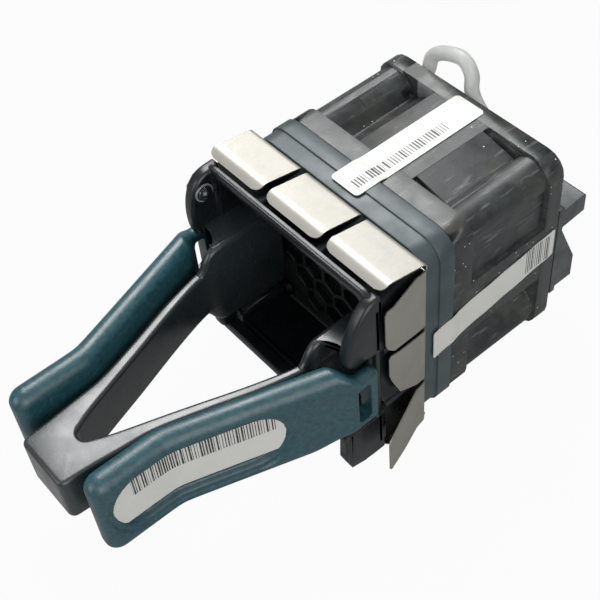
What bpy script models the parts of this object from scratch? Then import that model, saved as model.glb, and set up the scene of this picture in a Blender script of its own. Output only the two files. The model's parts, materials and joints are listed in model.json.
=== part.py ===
"""Switch fan tray: a 40 mm fan behind a collar, a spring-finger gasket and a bezel with a V handle.

Lengths are in metres and MM turns millimetres into them. Every piece hangs from the empty
"fan_axis": x runs to the right as seen from the handle, y runs from the handle to the rear,
z runs up, and the fan turns about the y line through the empty. The world origin lies below it,
on the underside of the collar, in the middle of its rear band.
"""
import math

import bmesh
import bpy
from mathutils import Vector

MM = 0.001

# Clearances between pieces
GAP = 0.3 * MM
SEAT = 0.12 * MM
RUNNING = 0.06 * MM

# Collar and fan frame
BODY_PROUD = 0.3 * MM
BODY_CORNER = 3.9 * MM
COLLAR_STEP = 0.3 * MM
COLLAR_LENGTH = 6.3 * MM
REAR_BAND = 3.1 * MM
FAN = 40.0 * MM
FAN_LENGTH = 24.4 * MM
FAN_CORNER = 3.7 * MM
FRONT_FLANGE = 4.0 * MM
REAR_FLANGE = 3.2 * MM
DUCT_EDGE = 1.4 * MM
DUCT_WALL = 0.8 * MM
COLUMN_EDGE = 4.25 * MM
COLUMN_RADIUS = 3.7 * MM
STRIP_HALF = 6.2 * MM
SCREW_EDGE = 4.1 * MM
SCREW_HOLE = 1.5 * MM
SCREW_HEAD = 1.8 * MM
PLATE_LEVEL = 19.0 * MM

# Rotor and motor
HUB_RADIUS = 10.4 * MM
HUB_WALL = 0.8 * MM
HUB_FRONT = 5.2 * MM
HUB_SHORT = 3.3 * MM
TIP_CLEARANCE = 0.5 * MM
BLADES = 7
YOKE_WALL = 0.6 * MM
MAGNET_WALL = 1.1 * MM
AIR_GAP = 0.3 * MM
SHAFT_RADIUS = 1.0 * MM
SHAFT_SHORT = 2.7 * MM
BEARING_RADIUS = 2.5 * MM
BEARING_LENGTH = 2.3 * MM
TUBE_WALL = 0.65 * MM
TUBE_SHORT = 13.2 * MM
CORE_SHORT = 11.3 * MM
CORE_LENGTH = 4.2 * MM
ARM_WIDTH = 1.5 * MM
COIL_BUILD = 0.9 * MM
BASE_THICKNESS = 1.5 * MM
STRUT_WIDTH = 1.8 * MM
BOARD_SHORT = 4.7 * MM
BOARD_THICKNESS = 0.8 * MM

# Grille
GRILLE_EDGE = 2.0 * MM
GRILLE_THICKNESS = 1.2 * MM
HEX_FLATS = 4.4 * MM
HEX_WEB = 0.8 * MM

# Spring-finger gasket
SHEET = 0.22 * MM
MOUTH_EDGE = 2.3 * MM
PLATE_WIDTH = 0.9 * MM
FINGER_GAP = 1.55 * MM
FINGER_OVERHANG = 0.15 * MM
FINGER_LIFT = 0.2 * MM
PRESSED_SINK = 0.4 * MM
SIDE_SHIFT = -0.9 * MM

# Bezel
BEZEL_WALL = 1.9 * MM
BEZEL_SIDE_WALL = 2.6 * MM
BEZEL_CORNER = 3.0 * MM
BEZEL_FRONT = -17.2 * MM
RIM_REAR = -16.2 * MM
LENS_SEAT = -16.0 * MM
RECESS_DEPTH = 1.05 * MM
SIDE_RECESS_DEPTH = 1.0 * MM
CUTOUT_TOP = 7.1 * MM
CUTOUT_BOTTOM = -9.1 * MM
CUTOUT_REAR = -15.2 * MM
LENS_RADIUS = 1.6 * MM
LENS_X = -18.5 * MM
LENS_Z = 16.6 * MM
LENS_FRONT = -19.1 * MM

# V handle
NOSE_FRONT = -65.8 * MM
NOSE_HALF = 5.6 * MM
ARM_HALF_HEIGHT = 4.8 * MM
CHEEK_INNER = 12.3 * MM
CHEEK_WALL = 2.1 * MM
CHEEK_HALF_HEIGHT = 8.8 * MM
CHEEK_REAR = -7.8 * MM
SHELF = 0.9 * MM

# Latch levers
LEVER_FRONT = -63.8 * MM
LEVER_REAR = -17.7 * MM
LEVER_BEND = -50.5 * MM
LEVER_X = 10.4 * MM
LEVER_SLOPE = 0.33
LEVER_THICKNESS = 4.5 * MM
LEVER_HALF_HEIGHT = 8.5 * MM
TAB_PROUD = 0.6 * MM
TAB_THICKNESS = 2.6 * MM
TAB_HALF_HEIGHT = 5.7 * MM
PIVOT_X = 9.8 * MM
PIVOT_Y = -59.8 * MM
PIVOT_RADIUS = 0.9 * MM
RIM = 2.2 * MM
POCKET_DEPTH = 0.9 * MM
POCKET_FRONT = -62.1 * MM
POCKET_REAR = -32.0 * MM
WINDOW_FRONT = -22.3 * MM
WINDOW_REAR = -19.8 * MM
WINDOW_HALF_HEIGHT = 4.3 * MM

# Lever springs
SPRING_SHEET = 0.3 * MM
SPRING_HALF = 2.5 * MM

# Rear connector, lead and labels
EAR_REACH = 6.9 * MM
SHROUD_REACH = 5.7 * MM
BRACKET_LEFT = 12.8 * MM
BRACKET_WALL = 0.75 * MM
CONTACT = 0.6 * MM
CONTACT_PITCH = 1.25 * MM
SLEEVE_RADIUS = 1.3 * MM
LABEL = 0.12 * MM

# Sizes that follow the fan's
BODY = FAN + 2 * BODY_PROUD
DUCT_BORE = FAN / 2 - DUCT_EDGE
GRILLE = BODY - 2 * GRILLE_EDGE
SCREW_OFFSET = FAN / 2 - SCREW_EDGE
COLUMN_CENTRE = FAN / 2 - COLUMN_EDGE
PLATE_INNER = BODY / 2 - MOUTH_EDGE
PLATE_OUTER = PLATE_INNER + PLATE_WIDTH

# Half sizes of the bezel, and the places of what stands on it
BEZEL_HALF = PLATE_INNER + BEZEL_WALL
BEZEL_WIDE = PLATE_INNER + BEZEL_SIDE_WALL
FINGER_WIDTH = 2 * (BEZEL_WIDE + FINGER_OVERHANG - FINGER_GAP) / 3
FINGER_PITCH = FINGER_WIDTH + FINGER_GAP
RECESS_FLOOR = BEZEL_HALF - RECESS_DEPTH
SIDE_FLOOR = BEZEL_WIDE - SIDE_RECESS_DEPTH
ROOT_HEIGHT = BEZEL_HALF + FINGER_LIFT
PRESSED_ROOT = BEZEL_HALF - PRESSED_SINK
SIDE_ROOT = BEZEL_WIDE + GAP
TAB_X = BEZEL_WIDE + TAB_PROUD

# Levels along y
FAN_FRONT = GAP
FAN_REAR = FAN_FRONT + FAN_LENGTH
REAR_FLANGE_FRONT = FAN_REAR - REAR_FLANGE
COLLAR_FRONT = -COLLAR_LENGTH
PLATE_REAR = COLLAR_FRONT - SEAT
PLATE_FRONT = PLATE_REAR - SHEET
BEZEL_REAR = PLATE_FRONT - SEAT
BASE_FRONT = FAN_REAR - 0.2 * MM - BASE_THICKNESS
HUB_REAR = FAN_REAR - HUB_SHORT
SHAFT_REAR = FAN_REAR - SHAFT_SHORT
BOARD_FRONT = FAN_REAR - BOARD_SHORT
TUBE_FRONT = FAN_REAR - TUBE_SHORT
CORE_FRONT = FAN_REAR - CORE_SHORT
EAR_REAR = FAN_REAR + EAR_REACH
SHROUD_REAR = FAN_REAR + SHROUD_REACH


def clear_scene():
    """Removes every object of the open file."""
    for obj in list(bpy.data.objects):
        bpy.data.objects.remove(obj, do_unlink=True)


def linear(value):
    """Turns one sRGB channel from 0 to 1 into linear light."""
    return value / 12.92 if value <= 0.04045 else ((value + 0.055) / 1.055) ** 2.4


def finish(obj, colour, roughness, metallic=0.0):
    """Gives an object its own material."""
    material = bpy.data.materials.new(obj.name)
    material.use_nodes = True
    shader = material.node_tree.nodes["Principled BSDF"]
    channels = [int(colour[i:i + 2], 16) / 255 for i in (1, 3, 5)]
    rgba = [*[linear(c) for c in channels], 1.0]
    shader.inputs["Base Color"].default_value = rgba
    shader.inputs["Roughness"].default_value = roughness
    shader.inputs["Metallic"].default_value = metallic
    material.diffuse_color = rgba
    obj.data.materials.append(material)
    return obj


def place(name, bm, smooth=None):
    """Turns a bmesh into a named object under the fan axis."""
    bmesh.ops.recalc_face_normals(bm, faces=bm.faces)
    mesh = bpy.data.meshes.new(name)
    bm.to_mesh(mesh)
    bm.free()
    if smooth is not None:
        mesh.shade_smooth()
        mesh.set_sharp_from_angle(angle=math.radians(smooth))
    obj = bpy.data.objects.new(name, mesh)
    bpy.context.scene.collection.objects.link(obj)
    obj.parent = bpy.data.objects["fan_axis"]
    return obj


def combine(obj, tool, operation="DIFFERENCE", crossing=False):
    """Cuts an object with a hidden tool object, or joins the two. A crossing tool meets itself."""
    modifier = obj.modifiers.new(tool.name, "BOOLEAN")
    modifier.operation = operation
    modifier.object = tool
    modifier.solver = "EXACT"
    modifier.use_self = crossing
    tool.hide_render = True
    tool.display_type = "WIRE"
    return obj


def soften(obj, width, segments=2, angle=40):
    """Rounds an object's sharp edges."""
    modifier = obj.modifiers.new("soften", "BEVEL")
    modifier.width = width
    modifier.segments = segments
    modifier.limit_method = "ANGLE"
    modifier.angle_limit = math.radians(angle)
    return obj


def arc(centre, radius, start, end, steps):
    """Points of an arc in degrees, both ends included."""
    angles = [math.radians(start + (end - start) * i / steps) for i in range(steps + 1)]
    return [(centre[0] + radius * math.cos(a), centre[1] + radius * math.sin(a)) for a in angles]


def rounded_box(left, right, low, high, radius, steps=4):
    """Outline of a rectangle with round corners."""
    corners = [
        ((right - radius, high - radius), 0),
        ((left + radius, high - radius), 90),
        ((left + radius, low + radius), 180),
        ((right - radius, low + radius), 270),
    ]
    return [p for centre, start in corners for p in arc(centre, radius, start, start + 90, steps)]


def square(half, radius, steps=5):
    """Outline of a round-cornered square about the fan axis."""
    return rounded_box(-half, half, -half, half, radius, steps)


def rectangle(left, right, low, high):
    """Outline of a plain rectangle."""
    return [(left, low), (right, low), (right, high), (left, high)]


def spread(axis, depth, u, v):
    """Puts an outline's two numbers and its depth in x, y, z order."""
    return {"x": (depth, u, v), "y": (u, depth, v), "z": (u, v, depth)}[axis]


def solid(bm, rings, closed=False):
    """Adds a solid through a row of rings, which is bent round on itself if closed."""
    rows = [[bm.verts.new(p) for p in ring] for ring in rings]
    count = len(rings[0])
    for a, b in zip(rows, rows[1:] + rows[:1] if closed else rows[1:]):
        for i in range(count):
            j = (i + 1) % count
            bm.faces.new((a[i], a[j], b[j], b[i]))
    if not closed:
        bm.faces.new(rows[0])
        bm.faces.new(rows[-1])


def loft(name, *bodies, smooth=None, closed=False):
    """Object made of one or more solids, each through its own row of rings."""
    bm = bmesh.new()
    for rings in bodies:
        solid(bm, rings, closed)
    return place(name, bm, smooth)


def slab(outline, axis, low, high):
    """Two rings of an outline pushed along an axis."""
    return [[spread(axis, depth, u, v) for u, v in outline] for depth in (low, high)]


def prism(name, outline, axis, low, high, smooth=None):
    """Solid made by pushing an outline along an axis."""
    return loft(name, slab(outline, axis, low, high), smooth=smooth)


def block(x, y, z):
    """Rings of a plain block between pairs of limits."""
    return slab(rectangle(*x, *z), "y", *y)


def band(name, outer, inner, axis, low, high, smooth=None):
    """Tube between two outlines that have the same number of points."""
    rings = [
        [spread(axis, low, *a), spread(axis, high, *a), spread(axis, high, *b), spread(axis, low, *b)]
        for a, b in zip(outer, inner)
    ]
    return loft(name, rings, smooth=smooth, closed=True)


def turned(name, profile, steps=40, smooth=40):
    """Ring turned about the fan axis from a closed profile of (radius, y) points."""
    rings = []
    for i in range(steps):
        a = 2 * math.pi * i / steps
        rings.append([(r * math.cos(a), y, r * math.sin(a)) for r, y in profile])
    return loft(name, rings, smooth=smooth, closed=True)


def tube(name, outer, inner, low, high, steps=40):
    """Plain round tube about the fan axis."""
    return turned(name, [(outer, low), (outer, high), (inner, high), (inner, low)], steps)


def capped(name, profile, centre, steps=24, smooth=40):
    """Round solid along y whose profile of (radius, y) points starts and ends on its own axis."""
    bm = bmesh.new()
    first, *middle, last = profile
    poles = [bm.verts.new((centre[0], p[1], centre[1])) for p in (first, last)]
    rows = []
    for i in range(steps):
        a = 2 * math.pi * i / steps
        c, s = math.cos(a), math.sin(a)
        rows.append([bm.verts.new((centre[0] + r * c, y, centre[1] + r * s)) for r, y in middle])
    for a, b in zip(rows, rows[1:] + rows[:1]):
        bm.faces.new((poles[0], a[0], b[0]))
        bm.faces.new((poles[1], b[-1], a[-1]))
        for j in range(len(middle) - 1):
            bm.faces.new((a[j], a[j + 1], b[j + 1], b[j]))
    return place(name, bm, smooth)


def cylinders(name, centres, radius, low, high, steps=20):
    """Tool made of round bars along y."""
    outlines = [arc(c, radius, 0, 360 - 360 / steps, steps - 1) for c in centres]
    return loft(name, *[slab(outline, "y", low, high) for outline in outlines], smooth=40)


def corners(offset):
    """The four points at the same distance from both mid lines."""
    return [(sx * offset, sz * offset) for sx in (-1, 1) for sz in (-1, 1)]


def sheet_rings(path, turn=0):
    """Rings of a bent sheet. The path holds (y, height, low edge, high edge) points.

    The height is measured from the fan axis. turn is the number of quarter turns about that axis,
    from the top towards the right-hand side.
    """
    rings = []
    for i, (y, h, low, high) in enumerate(path):
        before = path[max(i - 1, 0)]
        after = path[min(i + 1, len(path) - 1)]
        along = Vector((after[0] - before[0], after[1] - before[1])).normalized()
        up = Vector((along.y, -along.x)) * SHEET / 2
        ring = [(low, y - up.x, h - up.y), (high, y - up.x, h - up.y),
                (high, y + up.x, h + up.y), (low, y + up.x, h + up.y)]
        for _ in range(turn):
            ring = [(z, y_, -x) for x, y_, z in ring]
        rings.append(ring)
    return rings


def mirrored(rings):
    """The same rings on the other side of the middle."""
    return [[(-x, y, z) for x, y, z in ring] for ring in rings]


def make_collar():
    """Frame in front of the fan: two bands, a square rebate for the grille and a round duct."""
    step = COLLAR_FRONT + COLLAR_LENGTH - REAR_BAND
    collar = prism("collar", square(BODY / 2, BODY_CORNER), "y", step, 0.0, smooth=30)
    front = square(BODY / 2 - COLLAR_STEP, BODY_CORNER)
    combine(collar, prism("collar_front", front, "y", COLLAR_FRONT, step + 0.1 * MM), "UNION")
    rebate = COLLAR_FRONT + GRILLE_THICKNESS + SEAT
    opening = square(GRILLE / 2 + GAP, 1.0 * MM, 2)
    combine(collar, prism("collar_rebate", opening, "y", COLLAR_FRONT - MM, rebate))
    combine(collar, cylinders("collar_duct", [(0, 0)], DUCT_BORE, COLLAR_FRONT, MM, 48))
    combine(collar, cylinders("collar_holes", corners(SCREW_OFFSET), SCREW_HOLE, COLLAR_FRONT, MM))
    return finish(collar, "#5A696D", 0.5)


def make_grille():
    """Flat honeycomb with a plain rim and four screw holes."""
    grille = prism("grille", square(GRILLE / 2, 0.8 * MM, 2), "y", COLLAR_FRONT,
                   COLLAR_FRONT + GRILLE_THICKNESS)
    pitch = HEX_FLATS + HEX_WEB
    cells = []
    for row in range(-3, 4):
        for column in range(-3, 4):
            x = (column + (0.5 if row % 2 else 0.0)) * pitch
            z = row * pitch * math.sqrt(3) / 2
            near_hole = min(math.dist((x, z), c) for c in corners(SCREW_OFFSET)) < 5.2 * MM
            if abs(x) < 15.6 * MM and not near_hole:
                hexagon = arc((x, z), HEX_FLATS / math.sqrt(3), 30, 330, 5)
                cells.append(slab(hexagon, "y", COLLAR_FRONT - MM, 0.0))
    combine(grille, loft("grille_cells", *cells))
    combine(grille, cylinders("grille_holes", corners(SCREW_OFFSET), SCREW_HOLE,
                              COLLAR_FRONT - MM, 0.0))
    return finish(grille, "#26292B", 0.5)


def finger_path(height, root, run):
    """Bent path of one finger, from inside the plate out to its root height and on to its lip."""
    middle = (PLATE_REAR + PLATE_FRONT) / 2
    first = run[0][2:]
    start = [(middle, PLATE_INNER + 0.5 * MM, *root), (middle, height - 0.35 * MM, *root),
             (middle - 0.12 * MM, height - 0.1 * MM, *first), (middle - 0.4 * MM, height, *first)]
    return start + run


def make_gasket():
    """One bent sheet: a ring plate behind the bezel and three spring fingers on each side."""
    plate = band("emi_gasket", square(PLATE_OUTER, 1.0 * MM, 2), square(PLATE_INNER, 0.6 * MM, 2),
                 "y", PLATE_FRONT, PLATE_REAR)
    fingers = []
    half = FINGER_WIDTH / 2
    flared = [(-13.7, 1.25), (-14.3, 1.2), (-15.7, 0.4)]
    pressed = [(-13.7, 0.55), (-14.3, 0.5), (-15.7, -0.1)]
    for middle in (-FINGER_PITCH, 0.0, FINGER_PITCH):
        edges = (middle - half, middle + half)
        for turn, height, run in ((0, ROOT_HEIGHT, flared), (2, PRESSED_ROOT, pressed)):
            path = finger_path(height, edges, [(y * MM, height + h * MM, *edges) for y, h in run])
            fingers.append(sheet_rings(path, turn))

    sides = [
        [(18.2, 5.8), (-8.8, 0.1, 18.8, 5.8), (-13.8, 0.4, 16.5, 6.1), (-15.5, 0.3, 16.3, 7.8)],
        [(4.6, -7.8), (-8.8, 0.1, 4.6, -7.8), (-12.6, 0.3, 4.8, -5.9), (-14.8, 0.2, 5.0, -0.4)],
        [(-9.1, -18.2), (-8.8, 0.3, -9.1, -20.0), (-13.2, 2.0, -10.0, -20.2),
         (-18.2, 3.7, -11.8, -20.1)],
    ]
    for (top, bottom), *run in sides:
        root = (-top * MM, -bottom * MM)
        path = [(y * MM, SIDE_ROOT + h * MM, -t * MM, -b * MM) for y, h, t, b in run]
        rings = sheet_rings(finger_path(SIDE_ROOT, root, path), 1)
        fingers += [rings, mirrored(rings)]
    combine(plate, loft("gasket_fingers", *fingers), "UNION")
    return finish(plate, "#C9C8C4", 0.3, 0.9)


def make_bezel():
    """Square sleeve with finger recesses, deep side walls, lever cut-outs and a lamp boss."""
    inner = PLATE_INNER
    outer = rounded_box(-BEZEL_WIDE, BEZEL_WIDE, -BEZEL_HALF, BEZEL_HALF, BEZEL_CORNER)
    bezel = band("bezel", outer, square(inner, 1.6 * MM, 4), "y", BEZEL_FRONT, BEZEL_REAR,
                 smooth=30)
    right = [
        [(-16.5, 17.6), (-17.5, 17.6), (-19.4, 12.2), (-21.0, 8.9), (-21.5, 7.1), (-14.0, 7.1)],
        [(-14.0, -9.1), (-23.5, -9.1), (-23.9, -16.0), (-23.0, -18.6), (-19.9, -19.4),
         (-16.4, -17.6)],
    ]
    left = [
        [(-16.5, 18.6), (-19.4, 18.6), (-20.9, 17.0), (-21.6, 13.5), (-21.6, 7.1), (-14.0, 7.1)],
        [(-14.0, -9.1), (-20.6, -9.1), (-20.7, -16.0), (-20.1, -18.2), (-18.6, -19.2),
         (-16.4, -17.6)],
    ]
    walls = []
    for outlines, flip in ((right, list), (left, mirrored)):
        for outline in outlines:
            points = [(y * MM, z * MM) for y, z in outline]
            walls.append(flip(slab(points, "x", inner + 0.6 * MM, BEZEL_WIDE - 0.05 * MM)))
    combine(bezel, loft("bezel_walls", *walls), "UNION")
    rim = LENS_RADIUS + 0.6 * MM
    boss = block((-inner - 0.5 * MM, LENS_X + rim), (BEZEL_FRONT + 0.1 * MM, -10.0 * MM),
                 (LENS_Z - rim, inner + 0.5 * MM))
    combine(bezel, loft("bezel_boss", boss), "UNION")
    recesses, side_recesses = [], []
    half = FINGER_WIDTH / 2 + 0.25 * MM
    y = (RIM_REAR, BEZEL_REAR + MM)
    for middle in (-FINGER_PITCH, 0.0, FINGER_PITCH):
        across = (middle - half, middle + half)
        for sign in (-1, 1):
            height = sorted((sign * RECESS_FLOOR, sign * (BEZEL_HALF + MM)))
            recesses.append(block(across, y, height))
            shifted = [value + SIDE_SHIFT for value in across]
            reach = sorted((sign * SIDE_FLOOR, sign * (BEZEL_WIDE + MM)))
            side_recesses.append(block(reach, (LENS_SEAT + 0.6 * MM, BEZEL_REAR + MM), shifted))
    combine(bezel, loft("bezel_recesses", *recesses))
    combine(bezel, loft("bezel_side_recesses", *side_recesses))
    cutouts = [
        block(sorted((sign * (inner - 0.5 * MM), sign * (BEZEL_WIDE + MM))),
              (BEZEL_FRONT - 8 * MM, CUTOUT_REAR), (CUTOUT_BOTTOM, CUTOUT_TOP))
        for sign in (-1, 1)
    ]
    combine(bezel, loft("bezel_cutouts", *cutouts))
    combine(bezel, cylinders("bezel_lens_hole", [(LENS_X, LENS_Z)], LENS_RADIUS + 0.15 * MM,
                             BEZEL_FRONT - 8 * MM, LENS_SEAT))
    return finish(bezel, "#20262B", 0.45)


def make_lens():
    """Round status lamp lens in the bezel's upper left corner."""
    r = LENS_RADIUS
    front, rear = LENS_FRONT, LENS_SEAT - SEAT
    profile = [(0, front), (r * 0.5, front + 0.15 * MM), (r * 0.85, front + 0.55 * MM),
               (r, front + 1.2 * MM), (r, rear), (0, rear)]
    lens = capped("led_lens", profile, (LENS_X, LENS_Z))
    return finish(lens, "#C7CEC9", 0.12)


def make_handle():
    """Nose, two arms, two cheeks inside the bezel, their shelves and the beads of the pivots."""
    right = [
        (2.9, -54.3), (6.3, -44.3), (10.1, -33.8), (12.3, -26.0), (12.3, -7.8),
        (14.4, -7.8), (14.4, -24.4), (12.05, -33.5), (8.93, -42.6), (5.9, -50.5),
    ]
    right = [(x * MM, y * MM) for x, y in right]
    apex = arc((0, NOSE_FRONT + 8.7 * MM), 1.5 * MM, 200, 340, 6)
    front = [(NOSE_HALF, NOSE_FRONT), (-NOSE_HALF, NOSE_FRONT)]
    left = [(-x, y) for x, y in reversed(right)]
    outline = right + front + left + apex
    handle = prism("v_handle", outline, "z", -ARM_HALF_HEIGHT, ARM_HALF_HEIGHT)
    cheek = rounded_box(-25.0 * MM, CHEEK_REAR, -CHEEK_HALF_HEIGHT, CHEEK_HALF_HEIGHT, 2.2 * MM, 3)
    plate = slab(cheek, "x", CHEEK_INNER + 0.02 * MM, CHEEK_INNER + CHEEK_WALL - 0.02 * MM)
    parts = [plate, mirrored(plate)]
    inner = PLATE_INNER - GAP
    shelf = [(12.6 * MM, -23.0 * MM), (14.8 * MM, -23.0 * MM), (15.2 * MM, -21.0 * MM),
             (inner, -20.7 * MM), (inner, -9.0 * MM), (12.6 * MM, -9.0 * MM)]
    for top in (CHEEK_HALF_HEIGHT - 0.05 * MM, -CHEEK_HALF_HEIGHT + 0.05 * MM + SHELF):
        rings = slab(shelf, "z", top - SHELF, top)
        parts += [rings, mirrored(rings)]
    combine(handle, loft("handle_cheeks", *parts), "UNION", crossing=True)
    beads = []
    for side in (-1, 1):
        bead = arc((side * PIVOT_X, PIVOT_Y), PIVOT_RADIUS, 0, 330, 11)
        beads.append(slab(bead, "z", -5.8 * MM, 5.8 * MM))
        x = sorted((side * (NOSE_HALF - 0.5 * MM), side * (PIVOT_X - 0.3 * MM)))
        beads.append(block(x, (PIVOT_Y - 0.35 * MM, PIVOT_Y + 0.35 * MM), (-4.2 * MM, 4.2 * MM)))
    soften(handle, 0.45 * MM, 2, 50)
    webs = loft("handle_webs", *beads[1::2])
    combine(handle, webs, "UNION")
    combine(handle, loft("handle_beads", *beads[0::2]), "UNION")
    return finish(handle, "#2C3436", 0.42)


def lever_shape(y):
    """Middle x, thickness and half height of a lever at one place along it."""
    middle = LEVER_X + max(0.0, y - LEVER_BEND) * LEVER_SLOPE
    thickness, half = LEVER_THICKNESS, LEVER_HALF_HEIGHT
    front = (y - LEVER_FRONT) / (2.4 * MM)
    if front < 1.0:
        swell = math.sqrt(max(0.0, 1.0 - (1.0 - front) ** 2))
        thickness *= 0.3 + 0.7 * swell
        half -= 2.0 * MM * (1.0 - swell)
    rear = min(1.0, max(0.0, (y + 24.9 * MM) / (3.6 * MM)))
    ease = rear * rear * (3 - 2 * rear)
    middle += (TAB_X - middle) * ease
    thickness += (TAB_THICKNESS - thickness) * ease
    half += (TAB_HALF_HEIGHT + 0.5 * MM - half) * ease
    end = max(0.0, (y - LEVER_REAR + 0.8 * MM) / (0.8 * MM))
    return middle, thickness - 0.9 * MM * end ** 2, half - 0.5 * MM * end


def lever_rings(levels, inset=0.0):
    """Round-edged cross-sections of the right-hand lever."""
    rings = []
    for y in levels:
        middle, thickness, half = lever_shape(y)
        t = thickness / 2 - inset
        radius = min(2.2 * MM, t - 0.05 * MM)
        outline = rounded_box(middle - t, middle + t, -half + inset, half - inset, radius, 5)
        rings.append([(x, y, z) for x, z in outline])
    return rings


def pocket_rings():
    """Tool for the shallow round-ended label pocket, which follows the lever's outer face."""
    rings = []
    steps = 8
    reach = LEVER_HALF_HEIGHT - RIM
    turns = [math.radians(90 * i / steps) for i in range(steps + 1)]
    front = [(POCKET_FRONT + reach * (1 - math.cos(a)), reach * math.sin(a)) for a in turns]
    rear = [(POCKET_REAR - reach * (1 - math.cos(a)), reach * math.sin(a)) for a in reversed(turns)]
    levels = front[1:] + [(LEVER_BEND - MM, reach), (LEVER_BEND + MM, reach)] + rear[:-1]
    for y, half in levels:
        middle, thickness, _ = lever_shape(y)
        floor = middle + thickness / 2 - POCKET_DEPTH
        rings.append([(floor, y, -half), (floor + 3 * MM, y, -half),
                      (floor + 3 * MM, y, half), (floor, y, half)])
    return rings


def make_lever(side, name):
    """Latch lever with a label pocket, a windowed tab and a groove that snaps over its bead."""
    start = [LEVER_FRONT + step * MM for step in (0.0, 0.12, 0.4, 0.9, 1.6, 2.4)]
    straight = [LEVER_BEND - MM, LEVER_BEND, LEVER_BEND + MM]
    tail = [value * MM for value in (-36.0, -24.9, -24.2, -23.5, -22.8, -22.1, -21.3, -18.5, -18.1)]
    rings = lever_rings(start + straight + tail + [LEVER_REAR])
    pocket = pocket_rings()
    window = block((TAB_X - 4 * MM, TAB_X + 4 * MM), (WINDOW_FRONT, WINDOW_REAR),
                   (-WINDOW_HALF_HEIGHT, WINDOW_HALF_HEIGHT))
    turn = arc((PIVOT_X, PIVOT_Y), PIVOT_RADIUS + GAP, 0, 337.5, 15)
    groove = slab(turn, "z", -6.1 * MM, 6.1 * MM)
    mouth = block((PIVOT_X - 3 * MM, PIVOT_X), (PIVOT_Y - 0.7 * MM, PIVOT_Y + 0.7 * MM),
                  (-4.5 * MM, 4.5 * MM))
    flip = mirrored if side < 0 else list
    lever = loft(name, flip(rings), smooth=35)
    for label, tool in (("pocket", pocket), ("window", window), ("groove", groove), ("mouth", mouth)):
        combine(lever, loft(f"{name}_{label}", flip(tool)))
    pivot = Vector((side * PIVOT_X, PIVOT_Y, 0.0))
    for vertex in lever.data.vertices:
        vertex.co -= pivot
    lever.location = pivot
    return finish(lever, "#24515F", 0.45)


def make_spring(side, name):
    """Bent leaf between a cheek and the tab of its lever."""
    base = CHEEK_INNER + CHEEK_WALL + SEAT + SPRING_SHEET / 2
    path = [(base, -9.5), (base, -11.5), (base + 0.5 * MM, -12.6), (19.2 * MM, -18.0),
            (19.45 * MM, -18.7), (19.3 * MM, -19.4)]
    rings = []
    for i, (x, y) in enumerate(path):
        before, after = path[max(i - 1, 0)], path[min(i + 1, len(path) - 1)]
        along = Vector((after[0] - before[0], (after[1] - before[1]) * MM)).normalized()
        off = Vector((along.y, -along.x)) * SPRING_SHEET / 2
        y *= MM
        rings.append([(side * (x + off.x), y + off.y, -SPRING_HALF),
                      (side * (x - off.x), y - off.y, -SPRING_HALF),
                      (side * (x - off.x), y - off.y, SPRING_HALF),
                      (side * (x + off.x), y + off.y, SPRING_HALF)])
    return finish(loft(name, rings, smooth=50), "#B9B9B4", 0.3, 0.9)


def housing_outline():
    """Middle cross-section of the fan frame: round duct, corner columns and flat side strips."""
    wall = DUCT_BORE + DUCT_WALL
    reach = COLUMN_CENTRE * math.sqrt(2)
    spread_angle = math.degrees(math.asin(COLUMN_RADIUS / reach))
    strip_angle = math.degrees(math.atan2(STRIP_HALF, FAN / 2))
    inner_angle = math.degrees(math.asin(STRIP_HALF / wall))
    strip_reach = (FAN / 2 - 0.05 * MM) / math.cos(math.radians(strip_angle))
    points = []
    for quarter in range(4):
        base = quarter * 90
        points.append((strip_reach, base + strip_angle))
        start, stop = base + inner_angle, base + 45 - spread_angle
        points += [(wall, start + (stop - start) * i / 3) for i in range(4)]
        for i in range(9):
            side = -spread_angle + 2 * spread_angle * i / 8
            off = min(reach * abs(math.sin(math.radians(side))), COLUMN_RADIUS)
            far = reach * math.cos(math.radians(side)) + math.sqrt(COLUMN_RADIUS ** 2 - off ** 2)
            points.append((far, base + 45 + side))
        start, stop = base + 45 + spread_angle, base + 90 - inner_angle
        points += [(wall, start + (stop - start) * i / 3) for i in range(4)]
        points.append((strip_reach, base + 90 - strip_angle))
    return [(r * math.cos(math.radians(a)), r * math.sin(math.radians(a))) for r, a in points]


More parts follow.
